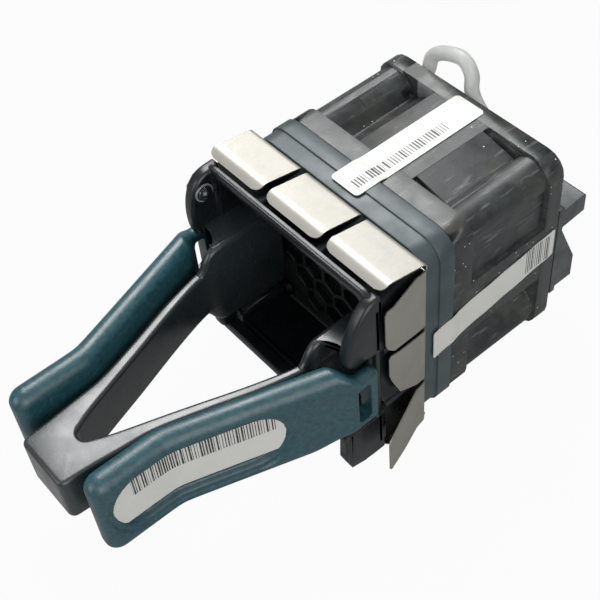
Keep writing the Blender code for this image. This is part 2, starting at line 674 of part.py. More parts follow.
def make_housing():
    """Fan frame with flanges, corner columns, side pockets, a motor base and its struts."""
    housing = prism("fan_housing", housing_outline(), "y", FAN_FRONT + 0.1 * MM,
                    FAN_REAR - 0.1 * MM)
    flange = square(FAN / 2, FAN_CORNER, 4)
    flanges = [slab(flange, "y", FAN_FRONT, FAN_FRONT + FRONT_FLANGE),
               slab(flange, "y", REAR_FLANGE_FRONT, FAN_REAR)]
    combine(housing, loft("housing_flanges", *flanges), "UNION")
    y = (FAN_FRONT + FRONT_FLANGE - 0.5 * MM, REAR_FLANGE_FRONT + 0.5 * MM)
    across = (STRIP_HALF - 0.3 * MM, 14.7 * MM)
    side = (3.4 * MM, 15.0 * MM)
    combine(housing, loft("housing_top_panel", block(across, y, (13.0 * MM, PLATE_LEVEL))), "UNION")
    combine(housing, loft("housing_side_panel", block((13.0 * MM, PLATE_LEVEL), y, side)), "UNION")
    combine(housing, cylinders("housing_bore", [(0, 0)], DUCT_BORE, -MM, FAN_REAR + MM, 48))
    combine(housing, cylinders("housing_holes", corners(SCREW_OFFSET), SCREW_HOLE, -MM, 10 * MM))
    notch = block((-14.1 * MM, -10.5 * MM), (FAN_REAR - 5.2 * MM, FAN_REAR + MM), (16.0 * MM, 22 * MM))
    combine(housing, loft("housing_lead_notch", notch))
    struts = []
    for angle in (45, 135, 225, 315):
        a = math.radians(angle)
        c, s = math.cos(a), math.sin(a)
        near, far = HUB_RADIUS - 1.4 * MM, DUCT_BORE + 0.6 * MM
        half = STRUT_WIDTH / 2
        for_points = [(near, -half), (far, -half), (far, half), (near, half)]
        outline = [(u * c - v * s, u * s + v * c) for u, v in for_points]
        struts.append(slab(outline, "y", BASE_FRONT + 0.1 * MM, BASE_FRONT + BASE_THICKNESS - 0.1 * MM))
    combine(housing, loft("housing_struts", *struts), "UNION")
    outer = BEARING_RADIUS + RUNNING + TUBE_WALL
    rear = BASE_FRONT + BASE_THICKNESS
    base = capped("housing_base", [(0, TUBE_FRONT), (outer, TUBE_FRONT), (outer, BASE_FRONT),
                                   (HUB_RADIUS, BASE_FRONT), (HUB_RADIUS, rear), (0, rear)],
                  (0, 0), 40)
    combine(housing, base, "UNION")
    combine(housing, cylinders("housing_tube_bore", [(0, 0)], BEARING_RADIUS + RUNNING,
                               TUBE_FRONT - MM, BASE_FRONT + 0.4 * MM, 32))
    return finish(housing, "#2F3435", 0.5)


def blade_rings(index):
    """Rings of one twisted fan blade from the hub to the tip."""
    rings = []
    tip = DUCT_BORE - TIP_CLEARANCE
    front, rear = HUB_FRONT + 2.0 * MM, HUB_REAR - 1.6 * MM
    for step in range(5):
        share = step / 4
        radius = HUB_RADIUS - 0.3 * MM + (tip - HUB_RADIUS + 0.3 * MM) * share
        sweep = 62 - 14 * share
        ring = []
        for side in (1, -1):
            marks = range(7) if side > 0 else range(5, 0, -1)
            for mark in marks:
                along = mark / 6
                y = front + (rear - front) * along
                bend = sweep * (along + 0.22 * math.sin(math.pi * along)) + 8 * share
                thick = (0.16 + 0.62 * math.sin(math.pi * min(1, along * 1.25 + 0.02))
                         * (1 - along * 0.6)) * MM if 0 < mark < 6 else 0.0
                a = math.radians(index * 360 / BLADES + bend) + side * thick / 2 / radius
                ring.append((radius * math.cos(a), y - side * thick * 0.35, radius * math.sin(a)))
        rings.append(ring)
    return rings


def make_impeller():
    """Hub cup with a boss for the shaft and its blades in one piece."""
    r, w = HUB_RADIUS, HUB_WALL
    bore = SHAFT_RADIUS + RUNNING
    front = HUB_FRONT
    profile = [(0, front), (r - 1.4 * MM, front), (r - 0.5 * MM, front + 0.35 * MM),
               (r, front + 1.3 * MM), (r, HUB_REAR), (r - w, HUB_REAR), (r - w, front + 1.2 * MM),
               (2.3 * MM, front + 1.2 * MM), (2.3 * MM, TUBE_FRONT - 1.0 * MM),
               (0, TUBE_FRONT - 1.0 * MM)]
    impeller = capped("impeller", profile, (0, 0), 42)
    combine(impeller, loft("impeller_blades", *[blade_rings(i) for i in range(BLADES)], smooth=50),
            "UNION")
    combine(impeller, cylinders("impeller_bore", [(0, 0)], bore, front + 0.9 * MM,
                                TUBE_FRONT + MM, 24))
    return finish(impeller, "#1F2325", 0.45)


def make_motor():
    """Shaft, bearings, magnet, yoke, stator core, coils, clip and circuit board."""
    shaft_front = HUB_FRONT + 1.0 * MM
    groove = SHAFT_REAR - 0.7 * MM
    profile = [(0, shaft_front), (SHAFT_RADIUS, shaft_front), (SHAFT_RADIUS, groove),
               (0.75 * MM, groove), (0.75 * MM, groove + 0.4 * MM),
               (SHAFT_RADIUS, groove + 0.4 * MM), (SHAFT_RADIUS, SHAFT_REAR - 0.1 * MM),
               (SHAFT_RADIUS - 0.15 * MM, SHAFT_REAR), (0, SHAFT_REAR)]
    finish(capped("shaft", profile, (0, 0)), "#B8B8B8", 0.2, 1.0)
    clip_rings = []
    for i in range(21):
        a = math.radians(30 + 300 * i / 20)
        c, s = math.cos(a), math.sin(a)
        clip_rings.append([
            (r * c, y, r * s) for r, y in (
                (0.81 * MM, groove + 0.1 * MM), (1.8 * MM, groove + 0.1 * MM),
                (1.8 * MM, groove + 0.3 * MM), (0.81 * MM, groove + 0.3 * MM))
        ])
    finish(loft("retaining_clip", clip_rings, smooth=40), "#6E6E6E", 0.4, 0.9)
    inner = SHAFT_RADIUS + RUNNING
    front = TUBE_FRONT + 0.4 * MM
    for name, low in (("bearing_front", front), ("bearing_rear", groove - 0.2 * MM - BEARING_LENGTH)):
        finish(tube(name, BEARING_RADIUS, inner, low, low + BEARING_LENGTH, 32), "#A98B4E", 0.4, 0.8)
    yoke = HUB_RADIUS - HUB_WALL - SEAT
    yoke_ends = (HUB_FRONT + 1.8 * MM, HUB_REAR - 0.5 * MM)
    finish(tube("rotor_yoke", yoke, yoke - YOKE_WALL, *yoke_ends), "#8B8B88", 0.4, 0.9)
    magnet = yoke - YOKE_WALL - SEAT
    rotor = magnet - MAGNET_WALL
    magnet_ends = (CORE_FRONT - 2.8 * MM, CORE_FRONT + CORE_LENGTH + 1.6 * MM)
    finish(tube("magnet_ring", magnet, rotor, *magnet_ends), "#3A3430", 0.7)
    tip = rotor - AIR_GAP
    core_inner = BEARING_RADIUS + RUNNING + TUBE_WALL + SEAT
    half = math.degrees(math.asin(ARM_WIDTH / 2 / (tip - 0.8 * MM)))
    root = math.degrees(math.asin(ARM_WIDTH / 2 / (core_inner + 0.9 * MM)))
    outline = []
    for quarter in range(4):
        a = quarter * 90
        outline += arc((0, 0), core_inner + 0.9 * MM, a - 90 + root, a - root, 3)
        outline += arc((0, 0), tip - 0.8 * MM, a - half, a - 30, 2)
        outline += arc((0, 0), tip, a - 32, a + 32, 6)
        outline += arc((0, 0), tip - 0.8 * MM, a + 30, a + half, 2)
    rear = CORE_FRONT + CORE_LENGTH
    core = prism("stator_core", outline, "y", CORE_FRONT, rear)
    combine(core, cylinders("core_bore", [(0, 0)], core_inner, CORE_FRONT - MM, rear + MM, 32))
    finish(core, "#77776F", 0.5, 0.7)
    hole = (ARM_WIDTH / 2 + SEAT, CORE_LENGTH / 2 + SEAT)
    full = (hole[0] + COIL_BUILD, hole[1] + COIL_BUILD)
    for i in range(4):
        a = math.radians(90 * i)
        c, s = math.cos(a), math.sin(a)
        rings = []
        for (u, v), (p, q) in zip(rounded_box(-full[0], full[0], -full[1], full[1], 0.6 * MM, 3),
                                  rounded_box(-hole[0], hole[0], -hole[1], hole[1], 0.1 * MM, 3)):
            corner = ((core_inner + 1.1 * MM, u, v), (tip - 1.25 * MM, u, v),
                      (tip - 1.25 * MM, p, q), (core_inner + 1.1 * MM, p, q))
            rings.append([(r * c - w * s, CORE_FRONT + CORE_LENGTH / 2 + h, r * s + w * c)
                          for r, w, h in corner])
        finish(loft(f"coil_{i + 1}", rings, smooth=40, closed=True), "#A65A2A", 0.35, 0.7)
    board = tube("circuit_board", HUB_RADIUS - 1.8 * MM, core_inner + 0.1 * MM, BOARD_FRONT,
                 BOARD_FRONT + BOARD_THICKNESS)
    finish(board, "#1F5A3A", 0.5)


def make_screws():
    """Four pan-head screws through the grille and the collar into the fan's columns."""
    head = COLLAR_FRONT - SEAT
    for number, (x, z) in enumerate(corners(SCREW_OFFSET), 1):
        profile = [(0, head - 1.1 * MM), (1.1 * MM, head - MM), (SCREW_HEAD - 0.2 * MM, head - 0.6 * MM),
                   (SCREW_HEAD, head - 0.3 * MM), (SCREW_HEAD, head),
                   (SCREW_HOLE - GAP, head), (SCREW_HOLE - GAP, 9.0 * MM), (0, 9.6 * MM)]
        screw = capped(f"fan_screw_{number}", profile, (x, z), 20)
        finish(screw, "#9A9A98", 0.35, 0.9)


def make_bracket():
    """Connector bracket behind the fan's right-hand side, with its plug and contacts."""
    left, right = BRACKET_LEFT, FAN / 2
    front = FAN_REAR + GAP
    plate_rear = front + 1.2 * MM
    bracket = loft("connector_bracket", block((left, right), (front, plate_rear),
                                              (-13.0 * MM, 8.0 * MM)))
    ear = [(front + 0.2 * MM, 3.1 * MM), (EAR_REAR, 3.7 * MM), (EAR_REAR, 7.3 * MM),
           (EAR_REAR - 0.5 * MM, 7.7 * MM), (front + 0.2 * MM, 7.2 * MM)]
    wedge = [(front + 0.2 * MM, 2.6 * MM), (plate_rear, 2.6 * MM), (SHROUD_REAR, -6.8 * MM),
             (SHROUD_REAR, -12.0 * MM), (front + 0.2 * MM, -12.0 * MM)]
    parts = [slab(ear, "x", left + 1.4 * MM, right - 0.05 * MM),
             slab(wedge, "x", left + 0.05 * MM, right - 0.05 * MM)]
    combine(bracket, loft("bracket_parts", *parts), "UNION")
    socket = ((left + BRACKET_WALL, right - BRACKET_WALL), (plate_rear + 0.3 * MM, EAR_REAR),
              (-11.3 * MM, -7.0 * MM))
    combine(bracket, loft("bracket_socket", block(*socket)))
    finish(bracket, "#3A4143", 0.5)
    (x0, x1), (y0, _), (z0, z1) = socket
    body = loft("connector_body", block((x0 + GAP, x1 - GAP), (y0 + GAP, SHROUD_REAR - 0.5 * MM),
                                        (z0 + GAP, z1 - GAP)))
    middle, level = (x0 + x1) / 2, (z0 + z1) / 2
    places = [middle + (i - 1.5) * CONTACT_PITCH for i in range(4)]
    half = CONTACT / 2
    wells = [block((x - half - SEAT, x + half + SEAT), (y0 + MM, EAR_REAR),
                   (level - half - SEAT, level + half + SEAT)) for x in places]
    combine(body, loft("connector_wells", *wells))
    finish(body, "#15181A", 0.5)
    for number, x in enumerate(places, 1):
        pin = loft(f"contact_{number}", block((x - half, x + half),
                                              (y0 + MM + SEAT, SHROUD_REAR - 0.9 * MM),
                                              (level - half, level + half)))
        finish(pin, "#C9A45A", 0.3, 1.0)


def make_sleeve():
    """Clear sleeve of the fan lead, from the fan's corner notch round to the connector bracket."""
    marks = [(-12.3, -4.1, 17.7), (-12.4, -1.1, 17.8), (-12.7, 1.6, 18.4), (-12.3, 2.1, 21.0),
             (-9.4, 2.05, 23.4), (-5.1, 2.0, 24.7), (-2.9, 2.0, 22.6), (-2.5, 2.0, 18.8),
             (0.8, 1.9, 15.5), (6.0, 1.9, 14.4), (10.0, 1.9, 10.6), (11.0, 2.0, 4.0),
             (11.05, 2.3, -3.0), (11.05, 2.8, -8.6)]
    points = [Vector((x * MM, FAN_REAR + y * MM, z * MM)) for x, y, z in marks]
    path = []
    for i in range(len(points) - 1):
        a, b = points[max(i - 1, 0)], points[i]
        c, d = points[i + 1], points[min(i + 2, len(points) - 1)]
        for step in range(3):
            t = step / 3
            path.append(0.5 * (2 * b + (c - a) * t + (2 * a - 5 * b + 4 * c - d) * t * t
                               + (3 * b - a - 3 * c + d) * t ** 3))
    path.append(points[-1])
    rings = []
    up = Vector((0, 0, 1))
    for i, point in enumerate(path):
        along = (path[min(i + 1, len(path) - 1)] - path[max(i - 1, 0)]).normalized()
        up = (up - along * up.dot(along)).normalized()
        side = along.cross(up)
        rings.append([tuple(point + (up * math.cos(a) + side * math.sin(a)) * SLEEVE_RADIUS)
                      for a in [2 * math.pi * k / 12 for k in range(12)]])
    return finish(loft("lead_sleeve", rings, smooth=60), "#E2E4E2", 0.25)


def label_rings(levels, turn):
    """Rings of a thin label on the top, or on the right-hand side if turned."""
    rings = []
    for y, height, low, high in levels:
        outer = height + LABEL / MM
        ring = [(low, y, height), (high, y, height), (high, y, outer), (low, y, outer)]
        if turn:
            ring = [(z, y_, x) for x, y_, z in ring]
        rings.append([tuple(v * MM for v in p) for p in ring])
    return rings


def make_labels():
    """Paper labels that run from the collar on to the fan, on the top and on the right."""
    step, collar, fan = [height / MM for height in (BODY / 2, BODY / 2 + SEAT, FAN / 2 + SEAT)]
    levels = [(-4.9, step), (-3.2, collar), (0.1, collar), (1.2, fan), (FAN_REAR / MM - 1.1, fan)]
    top = [(y, height, -3.0, 3.4) for y, height in levels]
    finish(loft("top_label", label_rings(top, False)), "#F4F4F0", 0.6)
    side = []
    for y, height in levels:
        share = (y + 4.9) / 28.5
        side.append((y + 0.5, height, -5.4 + 3.8 * share, 1.1 + 3.5 * share))
    finish(loft("side_label", label_rings(side, True)), "#F4F4F0", 0.6)


def make_lever_label():
    """Paper label on the floor of the right-hand lever's pocket."""
    reach = LEVER_HALF_HEIGHT - RIM - 1.5 * MM
    steps = 6
    turns = [math.radians(90 * i / steps) for i in range(steps + 1)]
    ends = (POCKET_FRONT + 1.3 * MM, POCKET_REAR - 1.5 * MM)
    front = [(ends[0] + reach * (1 - math.cos(a)), reach * math.sin(a)) for a in turns]
    rear = [(ends[1] - reach * (1 - math.cos(a)), reach * math.sin(a)) for a in reversed(turns)]
    rings = []
    for y, half in front[1:] + [(LEVER_BEND - MM, reach), (LEVER_BEND + MM, reach)] + rear[:-1]:
        middle, thickness, _ = lever_shape(y)
        floor = middle + thickness / 2 - POCKET_DEPTH + SEAT
        rings.append([(floor, y, -half), (floor + LABEL, y, -half),
                      (floor + LABEL, y, half), (floor, y, half)])
    label = loft("lever_label", rings)
    pivot = Vector((PIVOT_X, PIVOT_Y, 0.0))
    for vertex in label.data.vertices:
        vertex.co -= pivot
    label.location = pivot
    return finish(label, "#EFEFEA", 0.6)


clear_scene()
axis = bpy.data.objects.new("fan_axis", None)
bpy.context.scene.collection.objects.link(axis)
axis.location = (0.0, REAR_BAND / 2, BODY / 2)

make_bezel()
make_lens()
make_handle()
make_gasket()
make_grille()
make_collar()
make_housing()
make_impeller()
make_motor()
make_screws()
make_lever(-1, "lever_left")
make_lever(1, "lever_right")
make_spring(-1, "lever_spring_left")
make_spring(1, "lever_spring_right")
make_lever_label()
make_labels()
make_sleeve()
make_bracket()
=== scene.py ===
# %% [markdown]
# # Switch fan tray
#
# A hot-swap fan tray: a 40 mm fan, a collar with a honeycomb grille, a gasket of bent steel
# fingers, a bezel with a V handle, and two teal latch levers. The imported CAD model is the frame.
# Hidden solids stay as they are and get a material. What the eye lands on is made again, finer,
# in the same place: a moulding's edges are round, and a solid's are not.

# %% Load the frame
import json
import math

import bmesh
import bpy
from mathutils import Matrix, Vector


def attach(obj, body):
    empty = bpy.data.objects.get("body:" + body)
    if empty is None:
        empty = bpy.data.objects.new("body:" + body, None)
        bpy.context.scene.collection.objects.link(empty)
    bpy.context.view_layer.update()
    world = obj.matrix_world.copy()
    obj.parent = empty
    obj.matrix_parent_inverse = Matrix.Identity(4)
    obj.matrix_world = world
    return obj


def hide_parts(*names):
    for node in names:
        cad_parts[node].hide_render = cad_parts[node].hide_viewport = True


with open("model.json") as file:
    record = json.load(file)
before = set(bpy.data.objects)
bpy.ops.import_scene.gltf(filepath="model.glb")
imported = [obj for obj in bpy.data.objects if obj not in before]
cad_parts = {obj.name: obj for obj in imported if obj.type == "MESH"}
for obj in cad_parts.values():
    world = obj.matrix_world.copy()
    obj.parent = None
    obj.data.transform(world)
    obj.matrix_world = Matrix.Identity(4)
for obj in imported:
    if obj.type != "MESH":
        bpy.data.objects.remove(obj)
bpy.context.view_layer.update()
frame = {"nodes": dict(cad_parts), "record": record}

body_of = {n: b for b, names in frame["record"]["behaviour"]["bodies"].items() for n in names}
print("nodes:", len(frame["nodes"]))

# %% [markdown]
# ## Where things are
#
# All sizes below are millimetres from the fan's axis: x to the right as seen from the handle,
# y from the handle to the rear, z up. That is how the tray would be drawn. One function moves
# such a point into the frame, whose origin lies on the underside of the collar.

# %% Millimetres on the fan axis to metres in the frame
AXIS_Y, AXIS_Z = 1.55, 20.3


def at(x, y, z):
    """A point given from the fan axis in millimetres, in the frame's metres."""
    return Vector((x, y + AXIS_Y, z + AXIS_Z)) * 0.001


print("front of the nose:", at(0, -65.8, 0))

# %% [markdown]
# ## Camera
#
# The place and the lens were solved from about fifty points of the object whose sizes are known,
# so the render can be laid over the picture. The three rows are the camera's right, up and back.

# %% Camera
CAMERA_PLACE = (105.097, -89.956, 153.124)
FOCAL_LENGTH = 71.883
right = Vector((0.643297, 0.762342, -0.070735))
up = Vector((-0.555114, 0.528059, 0.642652))
back = Vector((0.527273, -0.37415, 0.762886))
camera_data = bpy.data.cameras.new("camera")
camera_data.lens = FOCAL_LENGTH
camera_data.sensor_width = 36.0
camera_data.clip_start = 0.01
camera = bpy.data.objects.new("camera", camera_data)
bpy.context.scene.collection.objects.link(camera)
camera_turn = Matrix((right, up, back)).transposed().to_4x4()
camera.matrix_world = Matrix.Translation(at(*CAMERA_PLACE)) @ camera_turn
bpy.context.scene.camera = camera
print("camera is", round(camera.location.length * 1000), "mm from the origin")

# %% [markdown]
# ## Colours and nodes
#
# Colours are written as sRGB hex values, as a paint chart gives them, and one function turns them
# to linear light. One more function adds a shader node: its options, then its inputs, each either
# a number or the output of another node.

# %% Colour and node helpers
def linear(colour):
    """An sRGB hex colour in linear light."""
    channels = [int(colour[i:i + 2], 16) / 255 for i in (1, 3, 5)]
    return [c / 12.92 if c <= 0.04045 else ((c + 0.055) / 1.055) ** 2.4 for c in channels] + [1.0]


def add(tree, kind, inputs, **options):
    """Adds a shader node with its options and its inputs."""
    node = tree.nodes.new("ShaderNode" + kind)
    for option, value in options.items():
        setattr(node, option, value)
    for key, value in inputs.items():
        if isinstance(value, bpy.types.NodeSocket):
            tree.links.new(value, node.inputs[key])
        else:
            node.inputs[key].default_value = value
    return node


def start(name, **constants):
    """A new material: its tree, its shader and the object's own coordinates in metres."""
    material = bpy.data.materials.new(name)
    material.use_nodes = True
    tree = material.node_tree
    shader = tree.nodes["Principled BSDF"]
    for key, value in constants.items():
        shader.inputs[key.replace("_", " ")].default_value = value
    return material, tree, shader, add(tree, "TexCoord", {}).outputs["Object"]


print("mid grey #808080 is", round(linear("#808080")[0], 3), "in linear light")

# %% [markdown]
# ## Moulded plastic
#
# The bezel, handle, levers, collar and fan frame are injection moulded. Three things give that
# away: a spark-eroded grain of about 0.2 mm, drawn here at 0.3 mm so that it shows, a slow drift
# of tone where the melt flowed, and pale scuffs from handling. Scuffs are noise that is squeezed
# in one direction and kept only at its peaks. IOR 1.5 to 1.58 is usual for these plastics. The
# levers, handle and fan frame have a little more, matched to their sheen under the soft box.
# The edges of a moulding are never sharp, so the shading is also rounded over 0.25 mm.

# %% Moulded plastic
EDGE_ROUND = 0.25 * 0.001


def moulded(name, dark, light, roughness, grain=0.3, depth=0.02, drift=7.0, scuffs=0.25, ior=1.53):
    """Moulded plastic between two tones. grain, depth and drift are in millimetres."""
    material, tree, shader, place = start(name, IOR=ior)
    flow = add(tree, "TexNoise", {"Vector": place, "Scale": 1000 / drift, "Detail": 3.0})
    share = add(tree, "MapRange", {0: flow.outputs["Fac"], 1: 0.35, 2: 0.65}).outputs[0]
    tone = add(tree, "Mix", {0: share, 6: linear(dark), 7: linear(light)}, data_type="RGBA").outputs[2]
    drawn = add(tree, "Mapping", {"Vector": place, "Rotation": (0.5, 0.3, 0.7), "Scale": (1.0, 7.0, 1.0)})
    marks = add(tree, "TexNoise", {"Vector": drawn.outputs[0], "Scale": 420.0, "Detail": 4.0})
    scuff = add(tree, "MapRange", {0: marks.outputs["Fac"], 1: 0.66, 2: 0.78, 4: scuffs}).outputs[0]
    worn = add(tree, "Mix", {0: scuff, 6: tone, 7: linear("#9AA3A4")}, data_type="RGBA").outputs[2]
    tree.links.new(worn, shader.inputs["Base Color"])
    cloud = add(tree, "TexNoise", {"Vector": place, "Scale": 260.0, "Detail": 2.0})
    gloss = add(tree, "MapRange", {0: cloud.outputs["Fac"], 1: 0.3, 2: 0.7, 3: roughness - 0.05,
                                   4: roughness + 0.07}).outputs[0]
    tree.links.new(gloss, shader.inputs["Roughness"])
    pits = add(tree, "TexNoise", {"Vector": place, "Scale": 1000 / grain, "Detail": 2.0})
    edge = add(tree, "Bevel", {"Radius": EDGE_ROUND}, samples=4)
    bump = add(tree, "Bump", {"Height": pits.outputs["Fac"], "Distance": depth / 1000, "Strength": 0.6,
                              "Normal": edge.outputs[0]})
    tree.links.new(bump.outputs[0], shader.inputs["Normal"])
    return material


# Coarse grain, fine mottling and a broad soft highlight along each lever.
teal_nylon = moulded("teal_grained_nylon", "#193D44", "#214E57", 0.37, 0.35, 0.05, 0.8, 0.15, 1.62)
# Polished by handling: bright on top, almost black where it faces the mouth.
handle_abs = moulded("dark_grey_satin_PC_ABS", "#22282A", "#2C3335", 0.25, 0.3, 0.012, 9.0, 0.10, 1.62)
# Nearly black, so that only its round edges are seen.
bezel_abs = moulded("black_blue_satin_PC_ABS", "#0F1416", "#161C1F", 0.30, 0.3, 0.010, 8.0, 0.12)
# Lighter and bluer than the fan, and scuffed by the bay.
collar_abs = moulded("slate_blue_satin_PC_ABS", "#333F43", "#3E4B4F", 0.42, 0.3, 0.010, 6.0, 0.30)
# Glass filled, so its skin is greyer and duller.
bracket_pbt = moulded("dark_grey_glass_filled_PBT", "#34393A", "#474D4D", 0.42, 0.3, 0.02, 3.0, 0.25)
# Three blacks that are seen in shade: the honeycomb, the rotor and the plug.
grille_abs = moulded("black_moulded_ABS", "#0B0D0E", "#131617", 0.45, 0.3, 0.01, 6.0, 0.03)
rotor_pbt = moulded("black_glass_filled_PBT", "#14171A", "#1E2326", 0.38, 0.3, 0.01, 6.0, 0.05)
plug_nylon = moulded("black_plug_nylon", "#0F1112", "#191C1E", 0.45, 0.25, 0.01, 4.0, 0.05)
print("plastics:", len([m for m in bpy.data.materials if m.name.split("_")[-1] in ("nylon", "ABS", "PBT")]))

# %% [markdown]
# ## The fan frame's plastic
#
# The frame is a dark polyester filled with glass. Its skin is blotchy, with brownish green and
# grey clouds a few millimetres wide, pale streaks of fibre, and white specks of dust. A real
# fibre is 0.01 mm thick, far too fine to show, so the streaks are drawn as bundles of fibres.
# Specks are the cores of a cell pattern, kept only in some of its cells.

# %% Fan frame plastic
fan_pbt, tree, shader, place = start("mottled_glass_filled_PBT", IOR=1.6)
cloud = add(tree, "TexNoise", {"Vector": place, "Scale": 300.0, "Detail": 5.0, "Roughness": 0.65})
share = add(tree, "MapRange", {0: cloud.outputs["Fac"], 1: 0.36, 2: 0.66}).outputs[0]
tone = add(tree, "Mix", {0: share, 6: linear("#15191B"), 7: linear("#2F3535")}, data_type="RGBA").outputs[2]
stain = add(tree, "TexNoise", {"Vector": place, "Scale": 130.0, "Detail": 4.0})
brown = add(tree, "MapRange", {0: stain.outputs["Fac"], 1: 0.5, 2: 0.72, 4: 0.55}).outputs[0]
tone = add(tree, "Mix", {0: brown, 6: tone, 7: linear("#4E4D43")}, data_type="RGBA").outputs[2]
along = add(tree, "Mapping", {"Vector": place, "Scale": (1.0, 0.14, 1.0)})
fibre = add(tree, "TexNoise", {"Vector": along.outputs[0], "Scale": 1500.0, "Detail": 3.0})
streak = add(tree, "MapRange", {0: fibre.outputs["Fac"], 1: 0.60, 2: 0.75, 4: 0.35}).outputs[0]
tone = add(tree, "Mix", {0: streak, 6: tone, 7: linear("#8C918F")}, data_type="RGBA").outputs[2]
cells = add(tree, "TexVoronoi", {"Vector": place, "Scale": 700.0})
core = add(tree, "Math", {0: cells.outputs["Distance"], 1: 0.09}, operation="LESS_THAN").outputs[0]
some = add(tree, "SeparateColor", {0: cells.outputs["Color"]}).outputs[0]
kept = add(tree, "Math", {0: some, 1: 0.82}, operation="GREATER_THAN").outputs[0]
speck = add(tree, "Math", {0: core, 1: kept}, operation="MULTIPLY").outputs[0]
tone = add(tree, "Mix", {0: speck, 6: tone, 7: linear("#C6C9C6")}, data_type="RGBA").outputs[2]
tree.links.new(tone, shader.inputs["Base Color"])
gloss = add(tree, "MapRange", {0: cloud.outputs["Fac"], 1: 0.3, 2: 0.7, 3: 0.36, 4: 0.52}).outputs[0]
tree.links.new(gloss, shader.inputs["Roughness"])
pits = add(tree, "TexNoise", {"Vector": place, "Scale": 3000.0, "Detail": 3.0})
edge = add(tree, "Bevel", {"Radius": EDGE_ROUND}, samples=4)
bump = add(tree, "Bump", {"Height": pits.outputs["Fac"], "Distance": 0.00002, "Strength": 0.6,
                          "Normal": edge.outputs[0]})
tree.links.new(bump.outputs[0], shader.inputs["Normal"])
print("fan frame plastic has", len(tree.nodes), "nodes")

# %% [markdown]
# ## Metals
#
# The gasket is thin stainless strip, rolled and then handled: a broad satin gleam, with faint
# cloudy stains and rolling lines along the strip. A real rolling line is 0.01 mm wide, and here
# they are 0.1 to 0.5 mm apart, so that they show. A metal's colour is its base colour, and what
# varies over the surface is mostly its roughness. The other metals sit inside the fan and differ
# in colour and polish: ground shaft, drawn yoke, stacked core, porous bronze, enamelled wire.

# %% Metals
def metal(name, colour, roughness, lines=0.12, stains=0.1):
    """Metal with rolling or turning lines, in millimetres apart, and cloudy stains."""
    material, tree, shader, place = start(name, Metallic=1.0)
    cloud = add(tree, "TexNoise", {"Vector": place, "Scale": 230.0, "Detail": 5.0, "Roughness": 0.6})
    share = add(tree, "MapRange", {0: cloud.outputs["Fac"], 1: 0.42, 2: 0.72, 4: stains}).outputs[0]
    tone = add(tree, "Mix", {0: share, 6: linear(colour), 7: linear("#7D7A70")}, data_type="RGBA")
    tree.links.new(tone.outputs[2], shader.inputs["Base Color"])
    drawn = add(tree, "Mapping", {"Vector": place, "Scale": (1.0, 0.03, 1.0)})
    rolled = add(tree, "TexNoise", {"Vector": drawn.outputs[0], "Scale": 1000 / lines, "Detail": 2.0})
    gloss = add(tree, "MapRange", {0: rolled.outputs["Fac"], 1: 0.3, 2: 0.7, 3: roughness - 0.04,
                                   4: roughness + 0.08}).outputs[0]
    tree.links.new(gloss, shader.inputs["Roughness"])
    bump = add(tree, "Bump", {"Height": rolled.outputs["Fac"], "Distance": 0.000004, "Strength": 0.4})
    tree.links.new(bump.outputs[0], shader.inputs["Normal"])
    return material


strip_steel = metal("bright_rolled_stainless_steel", "#B2B0A9", 0.50, 0.2, 0.16)
spring_steel = metal("spring_steel", "#C8C6C0", 0.26)
# The screws' steel is drawn nearly black. That is painted shade, which keeps them dark in the shaded mouth
# where a plated screw would glint.
screw_metal_painted_shade = metal("painted_shade_dark_steel", "#2B2B2A", 0.45)
shaft_steel = metal("ground_steel", "#C9C9C7", 0.16)
yoke_steel = metal("deep_drawn_steel", "#A5A5A0", 0.36)
core_steel = metal("laminated_silicon_steel", "#86857D", 0.42, 0.5)
bronze = metal("sintered_bronze", "#B38A4C", 0.42, 0.3, 0.3)
copper = metal("enamelled_copper", "#B4602C", 0.30, 0.25)
gold = metal("gold_plated_brass", "#D5AC5A", 0.24)
magnet_ferrite = moulded("bonded_ferrite", "#2C2825", "#3B3632", 0.62)
board_laminate = moulded("green_solder_mask", "#12452C", "#1C5C3C", 0.30, 0.4, 0.01, 3.0, 0.0)
print("metals:", len([m for m in bpy.data.materials if m.node_tree and
                      m.node_tree.nodes["Principled BSDF"].inputs["Metallic"].default_value == 1.0]))

# %% [markdown]
# ## Labels
#
# The labels are white polyester film, thermally printed. A print is a function of the place on
# the label: it has cells of a fixed pitch, and each cell holds one bar whose width is a random
# number drawn from the cell's index. Limits on two axes frame the bars. There are no words.

